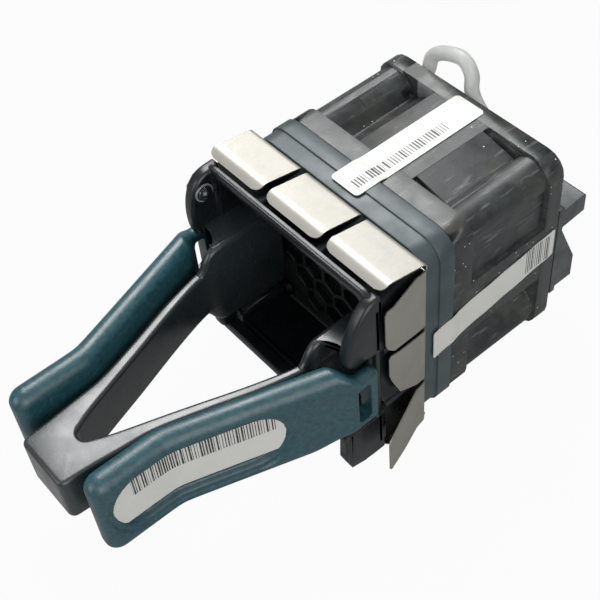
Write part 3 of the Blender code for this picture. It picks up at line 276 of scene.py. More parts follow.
# %% Label film with printed bars
def printed(name, across, along, pitch, seed):
    """White film with bars, pitch mm apart. across and along give an axis and its limits in metres."""
    material, tree, shader, place = start(name, Roughness=0.42, IOR=1.48)
    axes = add(tree, "SeparateXYZ", {0: place})
    fences = []
    for axis, low, high in (across, along):
        value = axes.outputs["XYZ".index(axis)]
        for limit, operation in ((low, "GREATER_THAN"), (high, "LESS_THAN")):
            fences.append(add(tree, "Math", {0: value, 1: limit}, operation=operation).outputs[0])
    step = add(tree, "Math", {0: axes.outputs["XYZ".index(along[0])], 1: 1000 / pitch},
               operation="MULTIPLY")
    index = add(tree, "Math", {0: step.outputs[0]}, operation="FLOOR")
    shifted = add(tree, "Math", {0: index.outputs[0], 1: seed}, operation="ADD")
    drawn = add(tree, "TexWhiteNoise", {"W": shifted.outputs[0]}, noise_dimensions="1D")
    width = add(tree, "MapRange", {0: drawn.outputs["Value"], 3: 0.15, 4: 0.72}).outputs[0]
    within = add(tree, "Math", {0: step.outputs[0]}, operation="FRACT").outputs[0]
    ink = add(tree, "Math", {0: within, 1: width}, operation="LESS_THAN").outputs[0]
    for fence in fences:
        ink = add(tree, "Math", {0: ink, 1: fence}, operation="MULTIPLY").outputs[0]
    fade = add(tree, "TexNoise", {"Vector": place, "Scale": 700.0, "Detail": 2.0})
    worn = add(tree, "MapRange", {0: fade.outputs["Fac"], 1: 0.3, 2: 0.5, 3: 0.82, 4: 1.0}).outputs[0]
    ink = add(tree, "Math", {0: ink, 1: worn}, operation="MULTIPLY").outputs[0]
    haze = add(tree, "TexNoise", {"Vector": place, "Scale": 200.0, "Detail": 3.0})
    film = add(tree, "Mix", {0: haze.outputs["Fac"], 6: linear("#CDCDC8"), 7: linear("#D8D8D3")},
               data_type="RGBA")
    tone = add(tree, "Mix", {0: ink, 6: film.outputs[2], 7: linear("#26282A")}, data_type="RGBA").outputs[2]
    tree.links.new(tone, shader.inputs["Base Color"])
    return material


def limits(axis, low, high):
    """Limits along one axis in the frame's metres, from millimetres on the fan axis."""
    shift = {"X": 0.0, "Y": AXIS_Y, "Z": AXIS_Z}[axis]
    return axis, (low + shift) / 1000, (high + shift) / 1000


top_film = printed("printed_white_film_top", limits("X", 0.2, 2.2), limits("Y", -3.4, 17.0), 0.60, 11)
side_film = printed("printed_white_film_side", limits("Z", -1.6, 3.9), limits("Y", 17.2, 23.2), 0.45, 5)
lever_film = printed("printed_white_film_lever", limits("Z", 1.0, 6.0), limits("Y", -57.6, -34.6), 0.42, 3)
print("labels:", top_film.name, side_film.name, lever_film.name)

# %% [markdown]
# ## Clear parts
#
# The lead's sleeve is a soft, milky tube: light enters and is scattered, so it is part
# transmission and part white. The lamp's lens is clear polycarbonate, and what is seen through it is
# dark. That dark is painted into the lens's own colour, with little transmission, so it is drawn dark,
# smooth and glossy, and its glint on the dome comes from the lamps.

# %% Clear plastics
sleeve_silicone, tree, shader, place = start("milky_silicone", Roughness=0.34, IOR=1.41)
shader.inputs["Transmission Weight"].default_value = 0.55
cloud = add(tree, "TexNoise", {"Vector": place, "Scale": 400.0, "Detail": 2.0})
tone = add(tree, "Mix", {0: cloud.outputs["Fac"], 6: linear("#DADCDA"), 7: linear("#F0F1EE")},
           data_type="RGBA")
tree.links.new(tone.outputs[2], shader.inputs["Base Color"])
# The lens's dark base colour is the dark seen through it, painted in.
lens_clear, tree, shader, place = start("clear_polycarbonate_painted_dark", Roughness=0.04, IOR=1.6)
shader.inputs["Transmission Weight"].default_value = 0.15
rings = add(tree, "TexNoise", {"Vector": place, "Scale": 900.0, "Detail": 2.0})
tone = add(tree, "Mix", {0: rings.outputs["Fac"], 6: linear("#0C0F11"), 7: linear("#1B2022")},
           data_type="RGBA")
tree.links.new(tone.outputs[2], shader.inputs["Base Color"])
ring_grey = moulded("bright_grey_ABS", "#6B7274", "#858C8E", 0.2, 0.3, 0.004, 3.0, 0.1)
print("clear plastics:", sleeve_silicone.name, lens_clear.name)

# %% [markdown]
# ## Making pieces
#
# Every piece rides on a body of the frame, and most stand for a CAD node. Many of the solids are
# right but for their edges. A copy of such a solid is welded, and a bevel rounds its edges,
# because a moulding has no edge sharper than about 0.2 mm and that round is what catches the
# light. Every new shape but the lead's sleeve is a skin of quads between rings of points, so one
# helper makes them all.

# %% Piece helpers
WELD = 0.002 * 0.001


def piece(name, mesh, material, *nodes, body="tray", smooth=40):
    """A new object on a body, standing for CAD nodes."""
    obj = bpy.data.objects.new(name, mesh)
    bpy.context.scene.collection.objects.link(obj)
    mesh.materials.clear()
    mesh.materials.append(material)
    mesh.shade_smooth()
    mesh.set_sharp_from_angle(angle=math.radians(smooth))
    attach(obj, body)
    if nodes:
        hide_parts(*nodes)
    return obj


def solid_copy(node):
    """A welded copy of a CAD solid's mesh."""
    bm = bmesh.new()
    bm.from_mesh(frame["nodes"][node].data)
    bmesh.ops.remove_doubles(bm, verts=bm.verts, dist=WELD)
    mesh = bpy.data.meshes.new(node + "_fine")
    bm.to_mesh(mesh)
    bm.free()
    return mesh


def rounded(node, material, width):
    """A finer copy of a CAD solid with round edges. width is in millimetres."""
    obj = piece(node + "_fine", solid_copy(node), material, node, body=body_of[node])
    edge = obj.modifiers.new("round edges", "BEVEL")
    edge.width = width / 1000
    edge.segments = 3
    edge.limit_method = "ANGLE"
    edge.angle_limit = math.radians(32)
    edge.harden_normals = True
    return obj


def curve(points, steps=5):
    """A smooth curve through points: a Catmull-Rom spline."""
    points = [Vector(p) for p in points]
    fine = []
    for i in range(len(points) - 1):
        a, b = points[max(i - 1, 0)], points[i]
        c, d = points[i + 1], points[min(i + 2, len(points) - 1)]
        for step in range(steps):
            t = step / steps
            fine.append(0.5 * (2 * b + (c - a) * t + (2 * a - 5 * b + 4 * c - d) * t * t
                               + (3 * b - a - 3 * c + d) * t ** 3))
    return fine + [points[-1]]


def inset(outline, amount):
    """The outline moved inwards, with mitred corners."""
    area = sum(p.x * q.y - q.x * p.y for p, q in zip(outline, outline[1:] + outline[:1]))
    sign = 1 if area > 0 else -1
    moved = []
    for i, point in enumerate(outline):
        before = (point - outline[i - 1]).normalized()
        after = (outline[(i + 1) % len(outline)] - point).normalized()
        normals = [Vector((-d.y, d.x)) * sign for d in (before, after)]
        middle = (normals[0] + normals[1]).normalized()
        moved.append(point + middle * amount / max(0.6, middle.dot(normals[0])))
    return moved


def pillow(outline, axis, low, high, radius, steps=5):
    """A prism with round edges. The outline is in the plane across the axis, in millimetres."""
    outline = [Vector(p[:2]) for p in outline]
    spread = {"x": lambda u, v, d: at(d, u, v), "y": lambda u, v, d: at(u, d, v),
              "z": lambda u, v, d: at(u, v, d)}[axis]
    rings = []
    for end, sign in ((low, 1), (high, -1)):
        turns = [math.radians(90 * i / steps) for i in range(steps + 1)]
        rows = [(radius * (1 - math.cos(a)), end + sign * radius * (1 - math.sin(a))) for a in turns]
        for amount, depth in (reversed(rows) if sign > 0 else rows):
            rings.append([spread(p.x, p.y, depth) for p in inset(outline, amount)])
    return loft(rings)


def joined(name, meshes):
    """One mesh of several."""
    bm = bmesh.new()
    for mesh in meshes:
        bm.from_mesh(mesh)
    mesh = bpy.data.meshes.new(name)
    bm.to_mesh(mesh)
    bm.free()
    return mesh


def mirror(mesh):
    """The left-hand twin of a right-hand mesh."""
    bm = bmesh.new()
    bm.from_mesh(mesh)
    for vertex in bm.verts:
        vertex.co.x = -vertex.co.x
    bmesh.ops.reverse_faces(bm, faces=bm.faces)
    twin = bpy.data.meshes.new(mesh.name)
    bm.to_mesh(twin)
    bm.free()
    return twin


def skin(rings, around=True, along=False, capped=False):
    """Quads between rings of points, closed around each ring, along the rings, or capped."""
    bm = bmesh.new()
    rows = [[bm.verts.new(p) for p in ring] for ring in rings]
    count = len(rings[0])
    for a, b in zip(rows, rows[1:] + rows[:1] if along else rows[1:]):
        for i in range(count if around else count - 1):
            j = (i + 1) % count
            bm.faces.new((a[i], a[j], b[j], b[i]))
    if capped:
        caps = [bm.faces.new(rows[0]), bm.faces.new(rows[-1])]
        bmesh.ops.triangulate(bm, faces=caps, ngon_method="EAR_CLIP")
    if not around:
        bmesh.ops.remove_doubles(bm, verts=bm.verts, dist=WELD / 2)
    bmesh.ops.recalc_face_normals(bm, faces=bm.faces)
    mesh = bpy.data.meshes.new("skin")
    bm.to_mesh(mesh)
    bm.free()
    return mesh


def loft(rings):
    """A solid through rings of points in the frame's metres."""
    return skin(rings, capped=True)


def arc(centre, radius, first, last, steps):
    """Points of an arc, in degrees from the first axis towards the second."""
    turns = [math.radians(first + (last - first) * i / steps) for i in range(steps + 1)]
    return [(centre[0] + radius * math.cos(a), centre[1] + radius * math.sin(a)) for a in turns]


def ease(share):
    """Runs smoothly from 0 to 1."""
    share = min(1.0, max(0.0, share))
    return share * share * (3 - 2 * share)


# %% [markdown]
# ## The moulded frame parts
#
# Collar, bracket, grille and plug keep their solids' shapes and get round edges.

# %% Rounded mouldings
mouldings = [
    ("collar", collar_abs, 0.2), ("connector_bracket", bracket_pbt, 0.2), ("grille", grille_abs, 0.1),
    ("connector_body", plug_nylon, 0.12),
]
for node, material, width in mouldings:
    fine = rounded(node, material, width)
    print(node, len(fine.data.polygons), "faces before the bevel")

# %% [markdown]
# ## Bezel
#
# The sleeve keeps its solid. What faces the eye is moulded over it: a rim with a full round
# around the mouth, a lower lip that stands further out, and side walls with a curved outline
# that guard the levers' tabs. Each wall is a pillow, an outline pushed along one axis whose edges
# are rounded by insetting the outline, which gives a truer round than a bevel on so thin a part.

# %% Bezel
SIDE, WALL_INSIDE, EDGE_RADIUS = 20.66, 18.3, 0.7
RIM_FRONT, RIM_REAR, RIM_BULGE = -16.75, -16.25, 0.6


def corner_box(half_x, half_z, r, steps=8):
    """A rectangle with round corners, anticlockwise."""
    points = []
    for sx, sz, first in ((1, -1, 270), (1, 1, 0), (-1, 1, 90), (-1, -1, 180)):
        points += arc((sx * (half_x - r), sz * (half_z - r)), r, first, first + 90, steps)
    return points


def hoop(outer, inner, profile):
    """A ring between two outlines whose section is a profile of (share from outer to inner, y)."""
    return skin([[at(a[0] + (b[0] - a[0]) * share, y, a[1] + (b[1] - a[1]) * share)
                  for a, b in zip(outer, inner)] for share, y in profile], along=True)


half_round = [(0.5 - 0.5 * cosine, RIM_FRONT - RIM_BULGE * sine)
              for cosine, sine in arc((0, 0), 1, 0, 180, 10)]
rim = hoop(corner_box(SIDE, 19.95, 3.0), corner_box(17.9, 17.9, 1.9),
           [(0, RIM_REAR)] + half_round + [(1, RIM_REAR)])
upper_right = curve([(-15.4, 7.15), (-20.6, 7.2), (-22.4, 7.9), (-22.7, 9.6), (-21.9, 13.0),
                     (-20.3, 16.4), (-18.0, 19.0), (-15.4, 19.6)])
upper_left = curve([(-15.4, 7.15), (-20.3, 7.2), (-21.8, 8.0), (-22.2, 10.4), (-22.1, 13.2),
                    (-21.5, 15.9), (-20.3, 18.1), (-18.4, 19.3), (-15.4, 19.6)])
lower_right = curve([(-15.4, -19.7), (-19.9, -19.6), (-22.6, -18.6), (-23.7, -16.2), (-23.7, -11.5),
                     (-23.2, -9.5), (-22.0, -9.15), (-15.4, -9.1)])
lower_left = curve([(-15.4, -19.7), (-18.6, -19.6), (-20.2, -18.4), (-20.7, -16.2), (-20.7, -11.5),
                    (-20.4, -9.5), (-19.6, -9.15), (-15.4, -9.1)])
walls = [pillow(line, "x", WALL_INSIDE, SIDE, EDGE_RADIUS) for line in (upper_right, lower_right)]
walls += [pillow(line, "x", -SIDE, -WALL_INSIDE, EDGE_RADIUS) for line in (upper_left, lower_left)]
lip = pillow([(-20.0, -19.5), (-18.9, -19.6), (18.9, -19.6), (20.0, -19.5), (20.0, -15.5), (-20.0, -15.5)],
             "z", -19.92, -18.0, 0.5)
bezel = piece("bezel_fine", solid_copy("bezel"), bezel_abs, "bezel")
guard = piece("bezel_rim_and_walls", joined("bezel_rim_and_walls", [rim, lip, *walls]), bezel_abs,
              smooth=50)
print("bezel:", len(bezel.data.polygons), "faces, rim and walls:", len(guard.data.polygons))

# %% [markdown]
# ## Status lamp
#
# A light pipe in the left wall, facing into the mouth: a domed clear lens in a round grey ring. It
# is seen as a dark eye with a crescent of light on its ring. Both are turned from a profile.

# %% Status lamp
def turned(profile, place, steps=40):
    """A turned mesh from (radius, depth), about an axis along x that faces right at a place."""
    turns = [2 * math.pi * i / steps for i in range(steps)]
    return skin([[at(place[0] - depth, place[1] + r * math.cos(a), place[2] + r * math.sin(a))
                  for r, depth in profile] for a in turns], around=False, along=True)


LAMP = (-18.3, -19.2, 15.8)
LENS_RADIUS = 1.4
dome = arc((0.0, 0.0), LENS_RADIUS, -90, 0, 10) + [(LENS_RADIUS, 1.2), (0.0, 1.2)]
lens = piece("status_lens", turned(dome, LAMP), lens_clear, "led_lens")
bead = [(1.74, 0.4)] + arc((1.58, -0.12), 0.16, 0, -180, 9) + [(1.42, 0.4)]
lamp_ring = piece("status_lens_ring", turned(bead, LAMP), ring_grey)
print("lamp:", len(lens.data.polygons) + len(lamp_ring.data.polygons), "faces")

# %% [markdown]
# ## V handle
#
# Nose and arms are one V of even height. Its edges are well rounded, so that it doesn't cut into
# the fingers, and the light draws one bright line along each arm. Where an arm meets the mouth it
# rises in an S curve to a cheek plate as tall as the levers, and a shelf ties the cheek to the
# bezel's side. Beside the nose an upright bead on a short web is the pivot of each lever. The V is
# one outline with both its halves, because a mirrored half would leave a seam in the nose.

# %% Outline of the V
inner = curve([(1.35, -57.9), (2.9, -54.3), (6.3, -44.3), (10.0, -33.8), (12.1, -26.5), (12.35, -22.0),
               (12.35, -9.0)])
outer = curve([(14.3, -9.0), (14.35, -22.0), (14.2, -25.6), (12.3, -33.5), (9.5, -42.0), (7.2, -49.8),
               (6.5, -55.5), (5.9, -61.0), (5.65, -64.5)])
chin = arc((4.35, -64.5), 1.3, -18, -90, 4)
half = [Vector(p) for p in inner + outer + chin]
apex = arc((0, -57.3), 1.5, 210, 330, 8)
outline = half + [Vector((-p.x, p.y)) for p in reversed(half)] + apex
body = pillow(outline, "z", -4.8, 4.8, 0.75, 6)
print("V handle outline:", len(outline), "points")

# %% V handle
PIVOT_X, PIVOT_Y = 9.8, -59.8
CHEEK_HALF, CHEEK_REAR = 8.85, -9.0
rise = curve([(-27.4, 2.5), (-27.0, 4.0), (-25.6, 5.4), (-24.5, 7.2), (-23.2, 8.5), (-21.2, CHEEK_HALF)])
cheek_line = [(CHEEK_REAR, CHEEK_HALF), *reversed(rise), *[(p.x, -p.y) for p in rise],
              (CHEEK_REAR, -CHEEK_HALF)]
cheek = pillow(cheek_line, "x", 12.35, 14.0, 0.7)
shelf_line = curve([(12.9, -22.9), (13.8, -22.5), (15.0, -21.5), (16.6, -20.9), (18.9, -20.7)])
shelf_line += [(18.9, -9.2), (12.9, -9.2)]
shelves = [pillow(shelf_line, "z", 7.9, 8.87, 0.3), pillow(shelf_line, "z", -8.87, -7.9, 0.3)]
pin = arc((PIVOT_X, PIVOT_Y), 0.9, 0, 340, 17)
web = [(5.0, PIVOT_Y - 0.35), (PIVOT_X, PIVOT_Y - 0.35), (PIVOT_X, PIVOT_Y + 0.35),
       (5.0, PIVOT_Y + 0.35)]
hinge = [pillow(pin, "z", -5.8, 5.8, 0.3), pillow(web, "z", -2.6, 0.6, 0.1, 2)]
right_parts = [cheek, *shelves, *hinge]
parts = [body, *right_parts, *map(mirror, right_parts)]
handle = piece("v_handle_moulding", joined("v_handle_moulding", parts), handle_abs, "v_handle",
               smooth=50)
print("handle:", len(handle.data.polygons), "faces")

# %% [markdown]
# ## Fan frame
#
# The fan frame is the solid with what only the eye needs. Beside the label a pocket is cut down to
# the round corner column, and a flat panel that slopes down to the column is put in it. On the
# lead's side the last stretch of the column is added and the notch in the rear flange is closed.
# A Boolean modifier does each step. Its manifold solver is used, because the exact one gives an
# empty mesh here. Normals weighted by area then keep the big faces flat to the light.

# %% Fan frame
def prism(outline, low, high):
    """A prism along y from an outline in x and z."""
    return loft([[at(x, low, z) for x, z in outline], [at(x, high, z) for x, z in outline]])


def merged(mesh, operation, tool):
    """A mesh with a tool added to it or cut away from it, welded. Both become plain meshes."""
    pair = [bpy.data.objects.new(name, data) for name, data in (("base", mesh), ("tool", tool))]
    for obj in pair:
        bpy.context.scene.collection.objects.link(obj)
    joint = pair[0].modifiers.new("merged", "BOOLEAN")
    joint.operation = operation
    joint.solver = "MANIFOLD"
    joint.object = pair[1]
    depsgraph = bpy.context.evaluated_depsgraph_get()
    result = bpy.data.meshes.new_from_object(pair[0].evaluated_get(depsgraph))
    for obj in pair:
        bpy.data.objects.remove(obj)
    bm = bmesh.new()
    bm.from_mesh(result)
    bmesh.ops.remove_doubles(bm, verts=bm.verts, dist=WELD)
    bm.to_mesh(result)
    bm.free()
    return result


pocket = [(6.5, 18.45), (9.5, 17.1), (12.4, 15.4), (12.9, 17.9), (13.4, 18.6), (14.2, 19.1),
          (15.0, 19.36), (15.05, 20.5), (6.5, 20.5)]
panel = [(5.0, 16.8), (12.2, 14.9), (13.2, 17.2), (13.25, 18.2), (12.95, 18.5), (5.9, 19.96), (5.0, 19.96)]
flange_plug = [(-14.6, 15.4), (-10.0, 15.4), (-10.0, 19.98), (-14.6, 19.98)]
column = arc((-15.75, 15.75), 3.68, 0, 348, 29)
steps = (("DIFFERENCE", pocket, 4.4, 21.4), ("UNION", panel, 5.4, 20.2),
         ("UNION", flange_plug, 21.52, 24.69), ("UNION", column, 12.0, 21.9))
frame_mesh = solid_copy("fan_housing")
for operation, form, front, rear in steps:
    frame_mesh = merged(frame_mesh, operation, prism(form, front, rear))
housing = piece("fan_frame", frame_mesh, fan_pbt, "fan_housing", smooth=46)
housing.modifiers.new("flat faces stay flat", "WEIGHTED_NORMAL").keep_sharp = True
print("fan frame:", len(housing.data.polygons), "faces")

# %% [markdown]
# ## Inner pieces
#
# The rotor is glimpsed through the grille and from behind, and the motor, bearings, screws,
# contacts and leaf springs hardly or not at all. Their solids have the right shape at that
# distance, so they stay and get a finish. The screws' near-black steel is painted shade.

# %% Finishes of the solids that stay
finishes = {
    "impeller": rotor_pbt, "rotor_yoke": yoke_steel, "magnet_ring": magnet_ferrite, "shaft": shaft_steel,
    "retaining_clip": spring_steel, "bearing_front": bronze, "bearing_rear": bronze,
    "stator_core": core_steel, "circuit_board": board_laminate, "lever_spring_left": spring_steel,
    "lever_spring_right": spring_steel,
}
for number in range(1, 5):
    finishes[f"coil_{number}"] = copper
    finishes[f"fan_screw_{number}"] = screw_metal_painted_shade
    finishes[f"contact_{number}"] = gold
for node, material in finishes.items():
    frame["nodes"][node].material_slots[0].material = material
print("solids with a finish:", len(finishes))

# %% [markdown]
# ## Spring-finger gasket
#
# One strip of steel 0.22 mm thick, blanked and bent: from the plate behind the bezel each finger
# turns forward, rises a little, and turns down again to a lip with round corners. The lowest one
# at each side flares outwards instead, and the fingers below are pressed flat by the tray's
# weight. A finger is a sheet that follows a path, and near its end the sheet narrows along a
# quarter circle, which is what makes the corners round.

# %% Finger of the gasket
SHEET, CORNER, PLATE = 0.22, 1.5, -6.53


def finger(path, turn=0, corner=CORNER):
    """Rings of a finger. The path holds (y, height, low edge, high edge), from root to lip."""
    fine = [path[0]]
    for a, b in zip(path, path[1:]):
        steps = max(1, round(math.dist(a[:2], b[:2]) / 0.35))
        for i in range(1, steps + 1):
            fine.append(tuple(p + (q - p) * i / steps for p, q in zip(a, b)))
    soft = [fine[0]]
    for before, point, after in zip(fine, fine[1:], fine[2:]):
        middle = [(p + 2 * q + r) / 4 for p, q, r in zip(before, point, after)]
        soft.append((middle[0], middle[1], point[2], point[3]))
    soft.append(fine[-1])
    reach = [0.0]
    for a, b in zip(reversed(soft[1:]), reversed(soft[:-1])):
        reach.append(reach[-1] + math.dist(a[:2], b[:2]))
    reach.reverse()
    rings = []
    for i, (y, h, low, high) in enumerate(soft):
        ahead, behind = soft[min(i + 1, len(soft) - 1)], soft[max(i - 1, 0)]
        along = Vector((ahead[0] - behind[0], ahead[1] - behind[1])).normalized()
        off = Vector((along.y, -along.x)) * SHEET / 2
        cut = 0.0
        if reach[i] < corner:
            cut = corner - math.sqrt(max(0.0, corner ** 2 - (corner - reach[i]) ** 2))
            cut = min(cut, (high - low) / 2 - 0.05)
        low, high = low + cut, high - cut
        ring = [(low, y - off.x, h - off.y), (high, y - off.x, h - off.y),
                (high, y + off.x, h + off.y), (low, y + off.x, h + off.y)]
        for _ in range(turn):
            ring = [(z, y_, -x) for x, y_, z in ring]
        rings.append(ring)
    return rings


def bent(height, root, run):
    """The path of a finger from inside the plate to its lip."""
    first = run[0][2:]
    return [(PLATE, 18.5, *root), (PLATE, height - 0.5, *root), (-6.65, height - 0.15, *first),
            (-7.0, height, *first)] + run


print("sheet thickness in mm:", SHEET)

# %% Gasket fingers
fingers = []
for middle in (-14.35, 0.0, 14.35):
    edges = (middle - 6.4, middle + 6.4)
    flared = [(-13.6, 21.3, *edges), (-14.0, 21.32, *edges), (-14.5, 21.15, *edges), (-15.7, 20.5, *edges)]
    pressed = [(-13.7, 20.05, *edges), (-14.3, 20.0, *edges), (-15.7, 19.4, *edges)]
    fingers.append(finger(bent(20.1, edges, flared)))
    fingers.append(finger(bent(19.5, edges, pressed), 2))
sides = [
    [(18.2, 5.8), (-8.8, 21.0, 18.8, 5.8), (-13.8, 21.3, 16.5, 6.1), (-15.0, 21.25, 16.4, 7.2),
     (-15.5, 21.2, 16.3, 7.8)],
    [(4.6, -7.8), (-8.8, 21.0, 4.6, -7.8), (-12.6, 21.2, 4.8, -5.9), (-14.8, 21.1, 5.0, -0.4)],
    [(-9.1, -18.2), (-8.8, 21.2, -9.1, -20.0), (-13.2, 22.9, -10.0, -20.2), (-18.2, 24.6, -11.8, -20.1)],
]
for (top, bottom), *run in sides:
    path = bent(20.9, (-top, -bottom), [(y, h, -t, -b) for y, h, t, b in run])
    rings = finger(path, 1, 0.7)
    fingers.append(rings)
    fingers.append([[(-x, y, z) for x, y, z in ring] for ring in rings])
outer, opening = [[(sx * half, sz * half) for sx, sz in ((-1, -1), (1, -1), (1, 1), (-1, 1))]
                  for half in (18.9, 18.0)]
near, far = PLATE - SHEET / 2, PLATE + SHEET / 2
plate = hoop(outer, opening, [(0, near), (0, far), (1, far), (1, near)])
strips = [loft([[at(*p) for p in ring] for ring in rings]) for rings in fingers]
gasket = piece("gasket_strip", joined("gasket", strips + [plate]), strip_steel, "emi_gasket", smooth=35)
print("fingers:", len(fingers), "faces:", len(gasket.data.polygons))

# %% [markdown]
# ## Latch levers
#
# Each lever is one moulding with generous rounds: a grip beside the nose, a straight run that
# follows the arm, and a thin tab with a window that snaps into the bezel. Its outer face has a
# shallow round-ended pocket for a label. The lever is a loft of closely spaced sections, and the
# pocket is a dent in the outer face with two soft steps and a groove under the label, because a
# Boolean's sharp wall would look cut and not moulded. The bore for the pivot, the slot for its web
# and the window do have crisp walls, so those are cut with Booleans.

# %% Lever sections
FRONT, REAR, BEND = -63.8, -18.05, -50.5
TAB_X, TAB_THICKNESS, TAB_HALF = 21.2, 2.6, 6.2


def section(y):
    """The right-hand lever at one place: middle, thickness, height over and under the fan axis."""
    middle = 10.4 + 0.33 * 0.5 * ((y - BEND) + math.sqrt((y - BEND) ** 2 + 1.0))
    thickness, half = 4.5, 8.5
    front = (y - FRONT) / 2.6
    if front < 1.0:
        swell = math.sqrt(max(0.0, 1.0 - (1.0 - front) ** 2))
        thickness *= 0.25 + 0.75 * swell
        half -= 2.2 * (1.0 - swell)
    share = ease((y + 24.9) / 3.6)
    low = half + 1.1 * (1.0 - ease((y + 30.0) / 6.0))
    middle += (TAB_X - middle) * share
    thickness += (TAB_THICKNESS - thickness) * share
    half += (TAB_HALF - half) * share
    low += (TAB_HALF - low) * share
    end = max(0.0, (y - REAR + 0.8) / 0.8)
    return middle, thickness - 0.9 * end ** 2, half - 0.5 * end, low - 0.5 * end


def dent(y, z):
    """How deep the label pocket is at a place of the outer face, in millimetres."""
    reach = 6.3
    nearest = min(max(y, -62.6 + reach), -32.0 - reach)
    inside = reach - math.hypot(y - nearest, z if z > 0 else 0.83 * z)
    groove = 0.6 * ease((inside - 1.2) / 0.25) * (1.0 - ease((inside - 2.2) / 0.25)) if z < 0 else 0.0
    return 0.45 * ease(inside / 0.2) + 0.45 * ease((inside - 1.0) / 0.2) + groove


def lever_mesh(side):
    """The lever's skin from its sections."""
    levels = [FRONT + s for s in (0.0, 0.05, 0.15, 0.35, 0.65, 1.0)]
    y = FRONT + 1.4
    while y < REAR - 0.9:
        levels.append(y)
        y += 0.25
    levels += [REAR - s for s in (0.8, 0.5, 0.25, 0.1, 0.0)]
    rings = []
    for y in levels:
        middle, thickness, half, low = section(y)
        t = thickness / 2
        r = min(2.2, t - 0.05)
        ring = []
        for cx, cz, first in ((t - r, half - r, 0), (r - t, half - r, 90), (r - t, r - low, 180),
                              (t - r, r - low, 270)):
            ring += arc((middle + cx, cz), r, first, first + 90, 7)
        ring += [(middle + t, r - low + (half + low - 2 * r) * i / 100) for i in range(1, 100)]
        rings.append([at(side * (x - (dent(y, z) if x > middle + 0.3 * t else 0.0)), y, z)
                      for x, z in ring])
    return loft(rings)


print("lever length in mm:", round(REAR - FRONT, 1))

# %% Levers
def cutter(outline, axis, low, high):
    """A hidden cutting solid from an outline that is pushed along an axis, in millimetres."""
    spread = {"x": lambda d, u, v: at(d, u, v), "z": lambda d, u, v: at(u, v, d)}[axis]
    mesh = loft([[spread(d, u, v) for u, v in outline] for d in (low, high)])
    obj = bpy.data.objects.new("cutter", mesh)
    bpy.context.scene.collection.objects.link(obj)
    obj.hide_render = True
    return obj


for side, name, body in ((-1, "left", "left_latch"), (1, "right", "right_latch")):
    lever = piece(f"latch_lever_{name}", lever_mesh(side), teal_nylon, f"lever_{name}", body=body,
                  smooth=60)
    bore = arc((side * PIVOT_X, PIVOT_Y), 1.2, 0, 345, 23)
    slot = [(side * 6.8, PIVOT_Y - 0.6), (side * PIVOT_X, PIVOT_Y - 0.6),
            (side * PIVOT_X, PIVOT_Y + 0.6), (side * 6.8, PIVOT_Y + 0.6)]
    window = [(-21.8, -4.3), (-20.3, -4.3), (-19.8, -3.8), (-19.8, 3.8), (-20.3, 4.3),
              (-21.8, 4.3), (-22.3, 3.8), (-22.3, -3.8)]
    tools = [cutter(bore, "z", -6.1, 6.1), cutter(slot, "z", -2.9, 0.9),
             cutter(window, "x", *sorted((side * 17.0, side * 26.0)))]
    for tool in tools:
        cut = lever.modifiers.new("cut", "BOOLEAN")
        cut.operation = "DIFFERENCE"
        cut.solver = "EXACT"
        cut.object = tool
    depsgraph = bpy.context.evaluated_depsgraph_get()
    cut_mesh = bpy.data.meshes.new_from_object(lever.evaluated_get(depsgraph))
    lever.modifiers.clear()
    lever.data = cut_mesh
    for tool in tools:
        bpy.data.objects.remove(tool)
    print(lever.name, len(lever.data.polygons), "faces")

# %% [markdown]
# ## Labels on their places
#
# A label is film 0.1 mm thick with round corners. It lies flat where it can and bridges the step
# from the collar to the fan in a soft wave. Each is a strip of sections along y, narrowed along a
# quarter circle at both ends for the corners. The lever's label has half-round ends instead.

# %% Strip of film
def strip(start_y, end_y, place, corner, steps=90, thickness=0.1):
    """A label along y. place(y) gives (x, z) of its edges, the second above or right of the first."""
    rings = []
    for i in range(steps + 1):
        y = start_y + (end_y - start_y) * (0.5 - 0.5 * math.cos(math.pi * i / steps))
        near = min(y - start_y, end_y - y)
        cut = 0.0
        if near < corner:
            cut = corner - math.sqrt(max(0.0, corner ** 2 - (corner - near) ** 2))
        a, b = (Vector(p) for p in place(y))
        across = (b - a).normalized()
        a, b = a + across * cut, b - across * cut
        if (b - a).dot(across) < 0.02:
            a = b = (a + b) / 2
            b = a + across * 0.02
        off = Vector((-across.y, across.x)) * thickness / 2
        marks = [a + (b - a) * k / 6 for k in range(7)]
        ring = [m + off for m in marks] + [m - off for m in reversed(marks)]
        rings.append([at(p.x, y, p.y) for p in ring])
    return loft(rings)


def bridge(y, step=0.3):
    """How far the film stands over the fan where it comes down from the collar."""
    return step * (1 - ease((y + 0.5) / 2.6)) + 0.06 * math.exp(-((y - 0.4) / 1.2) ** 2)


def top_place(y):
    """Edges of the top label."""
    z = 20.1 + bridge(y)
    return (-3.0, z), (3.4, z)


def side_place(y):
    """Edges of the side label, which is stuck on askew."""
    share = (y + 4.4) / 28.5
    x = 20.1 + bridge(y) + 0.04 * math.sin(y * 0.9)
    return (x, -5.4 + 3.8 * share), (x, 1.1 + 3.5 * share)


def pocket_place(y):
    """Edges of the label in the right lever's pocket, set high in it."""
    middle, thickness, _, _ = section(y)
    reach = 5.6
    nearest = min(max(y, -61.9 + reach), -32.6 - reach)
    half = math.sqrt(max(0.0, reach ** 2 - (y - nearest) ** 2))
    x = middle + thickness / 2 - 0.84
    return (x, max(-half, -4.4)), (x, max(half, -4.3))


print("film over the collar's edge in mm:", round(bridge(0.0), 2))

# %% Labels
top = piece("top_label_film", strip(-4.9, 23.6, top_place, 0.8), top_film, "top_label", smooth=30)
side_label = piece("side_label_film", strip(-4.4, 24.1, side_place, 0.5), side_film, "side_label",
                   smooth=30)
tag = piece("lever_label_film", strip(-61.5, -33.0, pocket_place, 0.0, 120), lever_film, "lever_label",
            body="right_latch", smooth=30)
print("labels:", [len(o.data.polygons) for o in (top, side_label, tag)], "faces")
